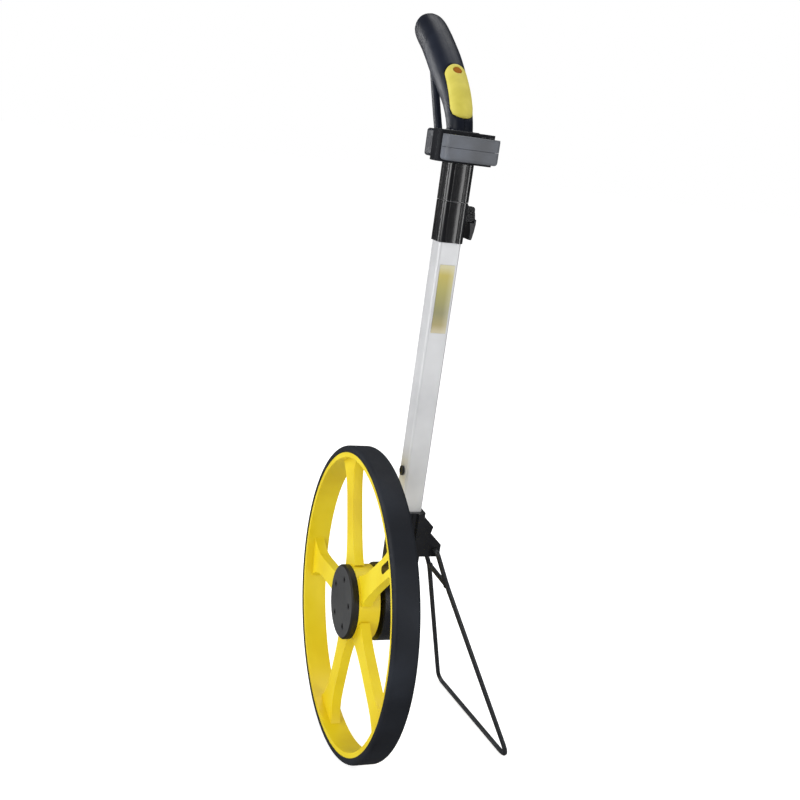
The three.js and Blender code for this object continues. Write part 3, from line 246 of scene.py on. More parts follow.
def crowned_gloss():
    material, tree, place = blank("crowned_gloss")
    parts = node(tree, "ShaderNodeSeparateXYZ", links={"Vector": place}).outputs
    drift = node(tree, "ShaderNodeTexNoise",
                 {"Scale": 1 / (gloss_drift_mm * MM), "Detail": 3.0}, {"Vector": place})
    colour = node(tree, "ShaderNodeValToRGB", links={"Fac": drift},
                  stops=[(0.3, "07080b"), (0.5, "0b0c10"), (0.7, "121318")])
    gloss = node(tree, "ShaderNodeMapRange",
                 {**noise_span, "To Min": 0.16, "To Max": 0.22}, {"Value": drift})
    squares = []
    for axis, middle in (("X", 0.0), ("Y", pole_y)):
        off = node(tree, "ShaderNodeMath", {1: middle * MM}, {0: parts[axis]}, operation="SUBTRACT")
        squares.append(node(tree, "ShaderNodeMath", links={0: off, 1: off}, operation="MULTIPLY"))
    both = node(tree, "ShaderNodeMath", links={0: squares[0], 1: squares[1]}, operation="ADD")
    height = node(tree, "ShaderNodeMath", {1: -1 / (2 * crown_radius * MM)}, {0: both}, operation="MULTIPLY")
    relief = node(tree, "ShaderNodeBump", {"Strength": 1.0, "Distance": 1.0}, {"Height": height})
    close(tree, node(tree, "ShaderNodeBsdfPrincipled",
                     {"IOR": 1.5, "Coat Weight": 1.0, "Coat Roughness": 0.12},
                     {"Base Color": colour, "Roughness": gloss, "Normal": relief}))
    return material


gloss_black = crowned_gloss()
print("crowned gloss made with a radius of", crown_radius, "mm")

# %% [markdown]
# ## Metals
# The pole is extruded aluminium, anodised to a satin silver. The die leaves faint lines along
# it, so its noise is stretched along Z. The axle, the bearings, the nut and the screws are
# zinc-plated steel, and the stop screw in the pole is blackened. A slow noise adds faint clouds
# of tone to all of them.

# %% Metal finishes
cloud_mm = 35.7


def drawn_metal(name, tones, roughness, across_mm, along_mm, relief_mm, metallic=1.0):
    material, tree, place = blank(name)
    stretched = node(tree, "ShaderNodeMapping",
                     {"Scale": (1 / (across_mm * MM), 1 / (across_mm * MM), 1 / (along_mm * MM))},
                     {"Vector": place})
    lines = node(tree, "ShaderNodeTexNoise", {"Scale": 1.0, "Detail": 4.0, "Roughness": 0.65},
                 {"Vector": stretched})
    cloud = node(tree, "ShaderNodeTexNoise",
                 {"Scale": 1 / (cloud_mm * MM), "Detail": 3.0}, {"Vector": place})
    colour = node(tree, "ShaderNodeValToRGB", links={"Fac": cloud}, stops=list(zip((0.3, 0.7), tones)))
    gloss = node(tree, "ShaderNodeMapRange",
                 {**noise_span, "To Min": roughness - 0.06, "To Max": roughness + 0.06},
                 {"Value": lines})
    relief = node(tree, "ShaderNodeBump", {"Strength": 0.3, "Distance": relief_mm * MM}, {"Height": lines})
    close(tree, node(tree, "ShaderNodeBsdfPrincipled", {"Metallic": metallic},
                     {"Base Color": colour, "Roughness": gloss, "Normal": relief}))
    return material


anodised_aluminium = drawn_metal("anodised_aluminium", ("d0d1d3", "dedfe1"), roughness=0.42,
                                 across_mm=0.5, along_mm=60, relief_mm=0.01, metallic=0.3)
zinc_steel = drawn_metal("zinc_steel", ("9fa3a8", "b8bbc0"), roughness=0.32,
                         across_mm=0.4, along_mm=2, relief_mm=0.01)
black_steel = drawn_metal("black_steel", ("3c3e41", "505256"), roughness=0.42,
                          across_mm=0.6, along_mm=2, relief_mm=0.02, metallic=0.7)
print("metal finishes made")

# %% [markdown]
# ## The coat of the wire
# The stand is drawn steel wire, dipped in a black coat. The coat is satin and wears thin in
# specks of a few millimetres, where it turns a lighter grey. One noise drives the colour, the
# gloss and the relief, so that all three change in the same specks.

# %% The black coat of the wire
def coated_wire():
    material, tree, place = blank("coated_wire")
    worn = node(tree, "ShaderNodeTexNoise", {"Scale": 1 / (3 * MM), "Detail": 6.0, "Roughness": 0.7},
                {"Vector": place})
    colour = node(tree, "ShaderNodeValToRGB", links={"Fac": worn},
                  stops=[(0.35, "26282b"), (0.6, "34363a"), (0.74, "4d5054")])
    gloss = node(tree, "ShaderNodeMapRange", {**noise_span, "To Min": 0.32, "To Max": 0.5}, {"Value": worn})
    relief = node(tree, "ShaderNodeBump", {"Strength": 0.3, "Distance": 0.04 * MM}, {"Height": worn})
    close(tree, node(tree, "ShaderNodeBsdfPrincipled", {"Metallic": 0.3},
                     {"Base Color": colour, "Roughness": gloss, "Normal": relief}))
    return material


wire_coat = coated_wire()
print("wire coat made")

# %% [markdown]
# ## Circuit boards
# The boards are hidden most of the time, but they show when the tool is taken apart. A board is
# glass fibre with copper tracks under green lacquer. Square cells of a Voronoi pattern, 3 mm
# apart, stand for the tracks, and the same pattern raises them a little.

# %% Lacquer of the boards
def circuit_lacquer():
    material, tree, place = blank("circuit_lacquer")
    tracks = node(tree, "ShaderNodeTexVoronoi",
                  {"Scale": 1 / (3 * MM), "Randomness": 0.6}, {"Vector": place},
                  distance="MANHATTAN", feature="F1")
    colour = node(tree, "ShaderNodeValToRGB", links={"Fac": tracks},
                  stops=[(0.2, "2f8a4c"), (0.35, "1f6b3a"), (0.6, "185730")])
    relief = node(tree, "ShaderNodeBump", {"Strength": 0.3, "Distance": 0.04 * MM}, {"Height": tracks})
    close(tree, node(tree, "ShaderNodeBsdfPrincipled", {"Roughness": 0.28},
                     {"Base Color": colour, "Normal": relief}))
    return material


circuit_board = circuit_lacquer()
print("board lacquer made")

# %% [markdown]
# ## The window over the screen
# The window is clear acrylic. It lets nearly all light through, and the smears of fingers change
# its gloss over about a centimetre, which is what tells the eye that there is a pane at all.

# %% Clear pane
def clear_pane():
    material, tree, place = blank("clear_pane")
    smear = node(tree, "ShaderNodeTexNoise", {"Scale": 1 / (9 * MM), "Detail": 4.0}, {"Vector": place})
    gloss = node(tree, "ShaderNodeMapRange",
                 {**noise_span, "To Min": 0.03, "To Max": 0.12}, {"Value": smear})
    colour = node(tree, "ShaderNodeValToRGB", links={"Fac": smear},
                  stops=[(0.3, "dfe8e2"), (0.7, "f2f6f3")])
    close(tree, node(tree, "ShaderNodeBsdfPrincipled", {"Transmission Weight": 0.9, "IOR": 1.49},
                     {"Base Color": colour, "Roughness": gloss}))
    return material


window_pane = clear_pane()
print("pane made")

# %% [markdown]
# ## Magnet and cells
# The magnet ring is sintered ferrite, a brownish grey with a dull grain. The cells wear a plain
# shrink wrap: a slate grey film with an even gloss.

# %% Ferrite and cell wrap
ferrite = moulded("ferrite", ("2f2d2c", "3b3836", "474442"),
                  roughness=0.62, grain_mm=0.5, relief_mm=0.08, drift_mm=8)
cell_wrap = moulded("cell_wrap", ("4a525c", "5a6470", "66717e"),
                    roughness=0.3, grain_mm=0.8, relief_mm=0.01, drift_mm=30)
print("magnet and cell finishes made")

# %% [markdown]
# ## The blank label
# The strip on the pole is a plain film with a soft ground: muted yellow at the top, olive in the
# middle, sand at the foot, and paler towards the edge. One ramp runs up the label along Z and
# another across it along Y, each over the label's own box, and the second one mixes the pale
# tone into the first.

# %% The blank label
label_low, label_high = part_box("label_plate")
label_ground = [(0.0, "c9bfa2"), (0.12, "a79b6c"), (0.3, "8f8c64"),
                (0.62, "a9a25e"), (0.85, "bcae58"), (0.97, "cbc49c")]
label_fade = [(0.0, "1c1c1c"), (0.25, "000000"), (0.6, "202020"), (0.95, "9a9a9a")]


def label_film():
    material, tree, place = blank("label_film")
    parts = node(tree, "ShaderNodeSeparateXYZ", links={"Vector": place}).outputs
    tones = []
    for axis, start, end, stops in (("Y", label_low.y, label_high.y, label_fade),
                                    ("Z", label_low.z, label_high.z, label_ground)):
        share = node(tree, "ShaderNodeMapRange", {"From Min": start, "From Max": end},
                     {"Value": parts[axis]})
        tones.append(node(tree, "ShaderNodeValToRGB", links={"Fac": share}, stops=stops))
    band = node(tree, "ShaderNodeMix", {7: linear("d9d6c4")}, {0: tones[0], 6: tones[1]}, data_type="RGBA")
    fibre = node(tree, "ShaderNodeTexNoise", {"Scale": 1 / (2 * MM), "Detail": 3.0}, {"Vector": place})
    relief = node(tree, "ShaderNodeBump", {"Strength": 0.2, "Distance": 0.02 * MM}, {"Height": fibre})
    close(tree, node(tree, "ShaderNodeBsdfPrincipled", {"Roughness": 0.45},
                     {"Base Color": band.outputs[2], "Normal": relief}))
    return material


label_blank = label_film()
print("label from", round(label_low.z * 1000), "to", round(label_high.z * 1000), "mm up the pole")

# %% [markdown]
# ## How a piece enters the scene
# A piece is one mesh with one finish. It rides on a body of the tool, so that it follows that
# body's joint, and it may stand for a solid, which is then hidden. Its round walls shade smoothly,
# while edges over a given angle stay sharp. Weighted normals keep large faces flat beside small
# round ones.

# %% Show a piece
def show(name, mesh, material, body, *stands_for):
    piece = bpy.data.objects.new(name, mesh)
    scene.collection.objects.link(piece)
    mesh.materials.clear()
    mesh.materials.append(material)
    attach(piece, body)
    if stands_for:
        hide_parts(*stands_for)
    return piece


def meshed(name, work):
    mesh = bpy.data.meshes.new(name)
    work.to_mesh(mesh)
    work.free()
    return mesh


def shade(mesh, degrees):
    mesh.polygons.foreach_set("use_smooth", [True] * len(mesh.polygons))
    mesh.set_sharp_from_angle(angle=math.radians(degrees))


def even_normals(piece):
    even = piece.modifiers.new("even", "WEIGHTED_NORMAL")
    even.keep_sharp = True


print("pieces can be shown")

# %% [markdown]
# ## Softened edges
# A solid comes in with knife-sharp edges and flat facets. Real mouldings have a small radius
# on every edge, which catches a thin line of light. This step copies a solid, merges its loose
# triangles, joins the flat ones, and lets a Bevel modifier round what is left sharp. The copy then
# stands for the solid.

# %% Dress a solid in a finish
sharp_degrees, flat_degrees = 38, 0.4
doubles_mm = 0.01


def merged_copy(name):
    work = bmesh.new()
    work.from_mesh(frame["nodes"][name].data)
    bmesh.ops.remove_doubles(work, verts=work.verts, dist=doubles_mm * MM)
    return work


def dressed(name, material, body, width_mm, change=None):
    work = merged_copy(name)
    bmesh.ops.dissolve_limit(work, angle_limit=math.radians(flat_degrees), verts=work.verts,
                             edges=work.edges)
    if change:
        change(work)
    piece = show(name + "_finish", meshed(name + "_finish", work), material, body, name)
    shade(piece.data, sharp_degrees)
    edge = piece.modifiers.new("edge", "BEVEL")
    edge.width = width_mm * MM
    edge.segments = 2
    edge.limit_method = "ANGLE"
    edge.angle_limit = math.radians(sharp_degrees)
    edge.use_clamp_overlap = True
    edge.harden_normals = True
    even_normals(piece)
    return piece


print("edges over", sharp_degrees, "degrees are rounded")

# %% [markdown]
# ## Which finish goes where
# The record of the tool names a material slot for each solid. A table turns those slots into the
# finishes above. A few pieces differ from their slot: the screws of the hub cap and the pin of
# the latch are blackened, the sleeve and the collar are glossy, and the case behind the display is
# the matt black. The solids themselves get the finishes too, for when a cover is taken off.

# %% Finishes for the slots of the record
slots = {
    "tyre": tread_rubber, "yellow_plastic": yellow_abs, "dark_plastic": cap_abs,
    "black_plastic": black_nylon, "grip_plastic": grip_softtouch, "grey_plastic": grey_abs,
    "aluminium": anodised_aluminium, "steel": zinc_steel, "dark_steel": black_steel,
    "wire": wire_coat, "pad_rubber": pad_elastomer, "orange_plastic": button_orange,
    "circuit_board": circuit_board, "window": window_pane, "screen": screen_glass,
    "label": label_blank, "magnet": ferrite, "cell": cell_wrap,
}
body_of_node = {}
for body, names in frame["record"]["behaviour"]["bodies"].items():
    body_of_node.update({name: body for name in names})
finish = {entry["node"]: slots[entry["material_slot"]] for entry in frame["record"]["subparts"]}
finish.update({name: black_oxide for name in finish if name.startswith("hub_cap_screw")})
finish.update({"neck_sleeve": gloss_black, "lock_collar": gloss_black, "latch_pin": black_oxide,
               "display_rear_case": case_black})
for name, solid in frame["nodes"].items():
    solid.data.materials.clear()
    solid.data.materials.append(finish[name])
print("finishes on", len(finish), "solids")

# %% [markdown]
# ## Pieces that keep the shape of their solid
# Most pieces only need their edges rounded. The radius is the one that the real process leaves:
# nearly a millimetre on large mouldings, half of that on small ones, and a deburred edge on metal.

# %% Round the edges of most pieces
edge_width = {
    "wheel_moulding": 0.9, "arm_inner_shell": 0.7, "arm_outer_shell": 0.7,
    "outer_tube": 0.2, "inner_tube": 0.2, "lock_collar": 0.5, "latch_lever": 0.6, "neck_sleeve": 0.5,
    "display_rear_case": 0.9, "display_window": 0.3,
    "display_key_1": 0.5, "display_key_2": 0.5, "battery_door": 0.4, "thumb_button": 0.5,
    "axle": 0.4, "axle_nut": 0.5, "axle_washer": 0.2, "tube_bolt": 0.4, "stop_screw": 0.4,
    "latch_pin": 0.2, "label_plate": 0.1, "bearing_front": 0.4, "bearing_rear": 0.4, "magnet_ring": 0.3,
    "hub_cap": 0.3,
}
made = {}
for name, width in edge_width.items():
    made[name] = dressed(name, finish[name], body_of_node[name], width)
print("softened pieces:", len(made))

# %% [markdown]
# ## The two front cases
# The grey cases of the display look soft because their outer edges have a wide radius. The rim
# that faces away from the seam is bevelled in the mesh with five segments, and the small edges
# that are left get the modifier like every other piece. On the upper case only the outer rim is
# taken, so that the window and the keys keep crisp openings.

# %% Round the rims of the front cases
rim_reach = 0.1
rim_width = 0.8


def rounded(work, chosen, width_mm):
    edges = [edge for edge in work.edges if all(chosen(vert.co / MM) for vert in edge.verts)
             and len(edge.link_faces) == 2 and edge.calc_face_angle() > math.radians(30)]
    bmesh.ops.bevel(work, geom=edges, offset=width_mm * MM, affect="EDGES", segments=5, profile=0.5,
                    material=-1)


lower_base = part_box("display_lower_case")[0].z / MM
upper_low, upper_high = (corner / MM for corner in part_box("display_upper_case"))


def on_lower_rim(place):
    return place.z < lower_base + rim_reach


def on_upper_rim(place):
    near = min(place.x - upper_low.x, upper_high.x - place.x, place.y - upper_low.y, upper_high.y - place.y)
    return place.z > upper_high.z - rim_reach and near < rim_width


rims_of_cases = {"display_lower_case": (on_lower_rim, 3.0), "display_upper_case": (on_upper_rim, 2.2)}
for name, (chosen, radius) in rims_of_cases.items():
    made[name] = dressed(name, grey_abs, "handle", 0.25, change=lambda work: rounded(work, chosen, radius))
    print(name, "has", len(made[name].data.polygons), "faces")

# %% [markdown]
# ## A second finish on some faces
# Some mouldings get a second finish: the hub cap a side painted darker as painted shade, the case
# behind the display a grey top, and the slot in one spoke walls in a painted shade of dark yellow. A
# piece can carry two materials, so this step adds the second one and gives it to the faces that a
# small test picks by place and direction.

# %% Faces with a second finish
cap_edge_radius = 34
rear_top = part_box("display_rear_case")[1].z / MM
slot_from_axle, slot_half_long, slot_half_wide = 116, 13.1, 4.1
slot_turn = math.radians(48)
cap_face_lean, top_lean, slot_wall_lean = 0.8, 0.7, 0.5


def second_finish(name, material, chosen):
    mesh = made[name].data
    mesh.materials.append(material)
    faces = [face for face in mesh.polygons if chosen(face.center / MM, face.normal)]
    for face in faces:
        face.material_index = 1
    print(name, "faces in", material.name, len(faces))


# Picks the side faces of the hub cap, which get the painted shade.
def on_cap_side(place, normal):
    return abs(normal.y) < cap_face_lean and math.hypot(place.x, place.z - axle_z) > cap_edge_radius


def on_rear_top(place, normal):
    return normal.z > top_lean and place.z > rear_top - 1


# Picks the walls of the slot in one spoke, which get the painted shade.
def in_slot(place, normal):
    right_of, above = place.x, place.z - axle_z
    along = right_of * math.sin(slot_turn) + above * math.cos(slot_turn) - slot_from_axle
    across = right_of * math.cos(slot_turn) - above * math.sin(slot_turn)
    return abs(along) < slot_half_long and abs(across) < slot_half_wide and abs(normal.y) < slot_wall_lean


second_finish("hub_cap", cap_side_painted_shade, on_cap_side)
second_finish("display_rear_case", lid_abs, on_rear_top)
second_finish("wheel_moulding", slot_painted_shade, in_slot)

# %% [markdown]
# ## A round tyre
# The tyre is turned from one profile: a flat tread, two round shoulders and the bore that sits on
# the rim. Spinning the profile in 160 steps hides the facets on the outline.

# %% Tyre
tyre_thick, shoulder_radius, bore_lip, shoulder_steps = 7, 4, 0.5, 10
tyre_low, tyre_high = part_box("tyre")
tyre_half = tyre_high.y / MM
wheel_centre = Vector((0, 0, axle_z)) * MM


def tyre_profile():
    bore = tread_radius - tyre_thick
    turns = [math.pi / 2 * i / shoulder_steps for i in range(shoulder_steps + 1)]
    shoulder = [(tread_radius - shoulder_radius * (1 - math.sin(turn)),
                 tyre_half - shoulder_radius * (1 - math.cos(turn))) for turn in turns]
    mirrored = [(radius, -along) for radius, along in reversed(shoulder)]
    return ([(bore, bore_lip - tyre_half), (bore, tyre_half - bore_lip), (bore + bore_lip, tyre_half)]
            + shoulder + mirrored + [(bore + bore_lip, -tyre_half)])


def turned_tyre():
    work = bmesh.new()
    ring = [work.verts.new(Vector((radius, along, 0)) * MM + wheel_centre)
            for radius, along in tyre_profile()]
    edges = [work.edges.new((ring[i], ring[(i + 1) % len(ring)])) for i in range(len(ring))]
    bmesh.ops.spin(work, geom=ring + edges, cent=wheel_centre, axis=(0, 1, 0), angle=2 * math.pi,
                   steps=160, use_merge=True)
    bmesh.ops.recalc_face_normals(work, faces=work.faces)
    return meshed("tyre_finish", work)


tyre = show("tyre_finish", turned_tyre(), tread_rubber, "wheel", "tyre")
shade(tyre.data, degrees=35)
print("tyre:", len(tyre.data.polygons), "faces,", round((tyre_high.x - tyre_low.x) / MM, 1), "mm across")

# %% [markdown]
# ## The handle, round instead of facetted
# The solid grip is a chain of straight pieces with twenty flat sides. The real one is smooth. Here
# each point of the solid is moved from the straight pieces onto a smooth curve through the same
# eleven stations, and from the flat sides onto a super-ellipse. The screw holes, the split and the
# inner walls move along, so nothing comes apart. A station is a place in X and Z, a half width and
# a half thickness, each written as a share of one size of the grip. A Catmull-Rom curve passes
# through all of them.

# %% The curve through the stations
grip_reach, grip_base, grip_rise = 138, 612, 124
half_width, half_thick = 15.5, 16.5
facets = 20
squareness = 0.9
power = 2 / squareness
curve_step, curve_stop = 0.01, 0.0001
station_shares = [
    (0.000, 0.000, 0.76, 0.66), (-0.035, 0.130, 0.77, 0.68), (-0.090, 0.265, 0.80, 0.72),
    (-0.190, 0.405, 0.86, 0.80), (-0.335, 0.535, 0.94, 0.92), (-0.490, 0.658, 1.00, 1.00),
    (-0.620, 0.755, 1.00, 1.00), (-0.750, 0.845, 1.00, 0.98), (-0.880, 0.922, 1.00, 0.96),
    (-0.965, 0.963, 0.90, 0.84), (-1.005, 0.982, 0.54, 0.50),
]
rows = [(grip_reach * a, grip_base + grip_rise * u, half_width * w, half_thick * t)
        for a, u, w, t in station_shares]
last = len(rows) - 1


def smooth_row(place):
    i = min(int(place), last - 1)
    t = place - i
    four = [rows[min(max(i + k, 0), last)] for k in (-1, 0, 1, 2)]
    weights = (-t + 2 * t * t - t ** 3, 2 - 5 * t * t + 3 * t ** 3,
               t + 4 * t * t - 3 * t ** 3, t ** 3 - t * t)
    return [sum(w * row[c] for w, row in zip(weights, four)) / 2 for c in range(4)]


def smooth_frame(place):
    x, z, wide, thick = smooth_row(place)
    x0, z0 = smooth_row(max(place - curve_step, 0))[:2]
    x1, z1 = smooth_row(min(place + curve_step, last - curve_stop))[:2]
    run = math.hypot(x1 - x0, z1 - z0)
    return x, z, (z1 - z0) / run, -(x1 - x0) / run, wide, thick


print("grip runs", round(rows[0][1]), "to", round(rows[last][1]), "mm up")

# %% [markdown]
# ## From a flat side to the round section
# The section of the grip is a super-ellipse, a little squarer than an ellipse, and the solid has
# its corners joined by flat sides. In any direction the round section lies a little further out
# than the flat side. This step works out that ratio, and a soft step from nought to one that will
# fade the change out where the grip ends.

# %% How far the round section lies outside a flat side
corners = []
for k in range(facets + 1):
    c, s = math.cos(2 * math.pi * k / facets), math.sin(2 * math.pi * k / facets)
    corners.append((math.copysign(abs(c) ** squareness, c), math.copysign(abs(s) ** squareness, s)))
corner_turns = [math.atan2(b, a) % (2 * math.pi) for a, b in corners[:facets]] + [2 * math.pi]


def swell(a, b):
    turn = math.atan2(b, a) % (2 * math.pi)
    k = next((i for i in range(facets) if corner_turns[i + 1] >= turn), facets - 1)
    (x0, y0), (x1, y1) = corners[k], corners[k + 1]
    c, s = math.cos(turn), math.sin(turn)
    flat = (x0 * y1 - x1 * y0) / (c * (y1 - y0) - s * (x1 - x0))
    full = (abs(c) ** power + abs(s) ** power) ** (-1 / power)
    return full / flat


def fade(value, start, end):
    t = min(max((value - start) / (end - start), 0), 1)
    return t * t * (3 - 2 * t)


print("in the first corner the two agree:", round(swell(1, 0), 3))

# %% [markdown]
# ## The cross lines of the straight pieces
# Between two stations the facetted grip is a straight loft, whose cross lines turn little by
# little from one station's rim to the next one's. A point of the solid lies on one of them. The
# side of a line on which a point lies is easy to tell, so halving can find the line itself.

# %% Cross lines between the stations
def lerp_row(first, second, t):
    return [p + (q - p) * t for p, q in zip(first, second)]


def halved(too_low, low, high, rounds):
    for _ in range(rounds):
        middle = (low + high) / 2
        if too_low(middle):
            low = middle
        else:
            high = middle
    return middle


def straight_rim(i):
    x, z, wide, thick = rows[i]
    before, after = rows[max(i - 1, 0)], rows[min(i + 1, last)]
    run = math.hypot(after[0] - before[0], after[1] - before[1])
    return x, z, thick * (after[1] - before[1]) / run, -thick * (after[0] - before[0]) / run, wide


rims = [straight_rim(i) for i in range(last + 1)]


def off_rim(i, t, x, z):
    cx, cz, dx, dz, _ = lerp_row(rims[i], rims[i + 1], t)
    return (x - cx) * dz - (z - cz) * dx


print("the cross line at the first station leans by", round(rims[0][3] / rims[0][2], 3))

# %% [markdown]
# ## From the straight pieces to the curve
# Once the cross line of a point is known, the same line on the smooth curve says where the point
# goes, and the ratio of the sections says how far out. Points at the foot of the stem and points
# well outside the section, such as those of the guard, move less or not at all.

# %% Move a point from the facets to the smooth surface
stem_fade, side_fade = (0.6, 1.6), (1.25, 1.7)
cross_reach = 2
split_clear = 0.2


def smoothed(point):
    x, y, z = (v / MM for v in point)
    for i in range(last):
        first = off_rim(i, 0, x, z)
        if first * off_rim(i, 1, x, z) > 0:
            continue
        t = halved(lambda t: off_rim(i, t, x, z) * first > 0, 0.0, 1.0, rounds=14)
        cx, cz, dx, dz, wide = lerp_row(rims[i], rims[i + 1], t)
        b = ((x - cx) * dx + (z - cz) * dz) / (dx * dx + dz * dz)
        a = (y - pole_y) / wide
        share = fade(i + t, *stem_fade) * (1 - fade(math.hypot(a, b), *side_fade))
        if abs(b) > cross_reach or share == 0:
            continue
        sx, sz, ox, oz, new_wide, new_thick = smooth_frame(i + t)
        grow = swell(a, b) if a or b else 1
        out, across = b * grow * new_thick, a * grow * new_wide
        on_split = abs(y - pole_y) < split_clear
        goal = Vector((sx + out * ox, y if on_split else pole_y + across, sz + out * oz))
        return point.lerp(goal * MM, share)
    return point


test = Vector((-60, 50, 700)) * MM
print("a test point moves by", round((smoothed(test) - test).length * 1000, 3), "mm")

# %% [markdown]
# ## Edges short enough to bend
# A long edge cannot follow a curve, however well its two ends are placed. So before the points
# move, long edges are halved until they are short enough, and shorter still near the split, where
# a coarse edge would show as a pit. The parts below the stem stay as they are.

# %% Split long edges
curve_start = 620
near_split, fine_edge, coarse_edge = 3, 1.7, 3.2
halving_rounds = 8


def too_long(edge):
    off_split = min(abs(vert.co.y / MM - split_y) for vert in edge.verts)
    return edge.calc_length() > (fine_edge if off_split < near_split else coarse_edge) * MM


def finely(work):
    for _ in range(halving_rounds):
        bmesh.ops.triangulate(work, faces=work.faces)
        long_edges = [edge for edge in work.edges
                      if min(v.co.z for v in edge.verts) > curve_start * MM and too_long(edge)]
        if not long_edges:
            break
        bmesh.ops.subdivide_edges(work, edges=long_edges, cuts=1)
    bmesh.ops.triangulate(work, faces=work.faces)


print("edges over", coarse_edge, "mm are halved, near the split over", fine_edge, "mm")

# %% [markdown]
# ## The two shells
# Now each point above the foot of the stem takes its new place. The two shells meet along a
# hairline, so the split is drawn together. Points that came very close are merged, which can lay
# a few faces on each other, and validate takes the copies out.

# %% Smooth both shells
split_reach, split_half = 0.2, 0.11
merge_mm, sliver_mm = 0.2, 0.1


def closed_seam(point):
    off = point.y / MM - split_y
    if abs(off) < split_reach:
        point.y = (split_y + math.copysign(split_half, off)) * MM
    return point


def smooth_shell(name, material):
    work = merged_copy(name)
    finely(work)
    for vert in work.verts:
        if vert.co.z > curve_start * MM:
            vert.co = closed_seam(smoothed(vert.co))
    bmesh.ops.remove_doubles(work, verts=work.verts, dist=merge_mm * MM)
    bmesh.ops.dissolve_degenerate(work, edges=work.edges, dist=sliver_mm * MM)
    piece = show(name + "_finish", meshed(name + "_finish", work), material, "handle", name)
    piece.data.validate()
    shade(piece.data, degrees=42)
    even_normals(piece)
    return piece


for name in ("grip_left_shell", "grip_right_shell"):
    shell = smooth_shell(name, grip_softtouch)
    print(shell.name, len(shell.data.polygons), "faces")

# %% [markdown]
# ## A skin over rings
# The bead, the pad and the wire below are all lofts: a row of rings with the same number of
# points, joined by a skin. A ring here is a closed loop of edges, and the bridge operator lays
# the faces between two of them. Open rows get a face at either end, and a closed row is bridged
# from its last ring to its first.

# %% Loft a row of rings
def loft(work, rings, closed_row=False):
    loops = []
    for places in rings:
        verts = [work.verts.new(place * MM) for place in places]
        loops.append([work.edges.new((verts[k - 1], verts[k])) for k in range(len(verts))])
    for first, second in zip(loops, loops[1:] + loops[:1] if closed_row else loops[1:]):
        bmesh.ops.bridge_loops(work, edges=first + second)
    if not closed_row:
        for end in (loops[0], loops[-1]):
            bmesh.ops.edgeloop_fill(work, edges=end)
    bmesh.ops.recalc_face_normals(work, faces=work.faces)


print("loft ready")

# %% [markdown]
# ## A bead over the split
# On top of the grip the two shells are pressed so close that only a faint line shows. A low bead,
# crowned by two tenths of a millimetre and sunk at both sides, lies over the split and follows
# the smooth curve, so that the light runs over the grip without a break.

# %% The bead that covers the split of the grip
bead_points, bead_step, bead_rise, bead_sink = 13, 0.45, 0.2, -0.6
bead_fall, bead_fall_at = 0.15, 2.25
bead_start, bead_end, bead_rings = 4.2, 9.93, 120


def bead_ring(place):
    x, z, ox, oz, wide, thick = smooth_frame(place)
    ring = []
    for k in range(bead_points):
        off = bead_step * (k - bead_points // 2)
        outer = k in (0, bead_points - 1)
        rise = bead_sink if outer else bead_rise - bead_fall * (off / bead_fall_at) ** 2
        b = (1 - abs(off / wide) ** power) ** (1 / power) * thick + rise
        ring.append(Vector((x + b * ox, split_y + off, z + b * oz)))
    return ring


work = bmesh.new()
loft(work, [bead_ring(bead_start + (bead_end - bead_start) * i / bead_rings) for i in range(bead_rings + 1)])
bead = show("grip_bead_top", meshed("grip_bead", work), grip_softtouch, "handle")
shade(bead.data, degrees=40)
print("bead:", len(bead.data.polygons), "faces")

# %% [markdown]
# ## Where the thumb pad lies
# The pad is a soft cushion that follows the curve of the grip. Its middle is a share of the way
# along the grip, and the button sits near its upper end. To lay a flat oval on a curved grip, each
# place on the oval is carried out to the skin of the grip, and halving finds the height there.

# %% Where the pad lies
pad_share, pad_long, pad_across, pad_rise = 0.31, 64, 23, 1.5
button_radius, button_share = 4.1, 0.83
button_at = pad_long / 2 * button_share - button_radius
seat = pad_share * last
below = int(seat)
search_end = 7.5


def unit_along(i):
    before, after = rows[i - 1], rows[i + 1]
    return Vector((after[0] - before[0], after[1] - before[1])).normalized()


pad_middle = Vector(lerp_row(rows[below], rows[below + 1], seat - below)[:2])
pad_along = unit_along(below).lerp(unit_along(below + 1), seat - below).normalized()
pad_out = Vector((pad_along.y, -pad_along.x))


def skin_at(place, v):
    x, z, ox, oz, wide, thick = smooth_frame(place)
    a = min(abs(v) / wide, 0.999)
    b = (1 - a ** power) ** (1 / power) * thick
    return Vector((x + b * ox, z + b * oz)) - pad_middle


def surface_at(u, v):
    place = halved(lambda place: skin_at(place, v).dot(pad_along) < u, 0.0, search_end, rounds=18)
    return skin_at(place, v).dot(pad_out)


def on_pad(u, v, lift):
    flat = pad_middle + pad_along * u + pad_out * (surface_at(u, v) + lift)
    return Vector((flat.x, pole_y + v, flat.y))


print("the pad's middle lies", round(surface_at(0, 0), 2), "mm off the curve")

# %% [markdown]
# ## The thumb pad
# The points of the pad run on straight rays from the button hole to the oval rim. Each is lifted
# off the smooth grip by the rise of the pad, which falls away round the rim and round the hole
# like a rolled edge. The first and the last ring lie under the skin of the grip and close the pad.

# %% Thumb pad
rays, steps_out = 96, 18
button_gap, rim_gap, pad_sink = 0.35, 0.4, -0.9
rim_roll, hole_roll, hole_lift_share = 2.2, 0.8, 0.55


def oval_reach(direction):
    radius = pad_across / 2 - rim_gap
    straight = pad_long / 2 - rim_gap - radius

    def inside(reach):
        u, v = button_at + direction[0] * reach, direction[1] * reach
        return math.hypot(max(abs(u) - straight, 0), v) < radius

    return halved(inside, 0.0, pad_long, rounds=24)


def rolled(distance, width):
    return 1 - (1 - min(distance / width, 1)) ** 2


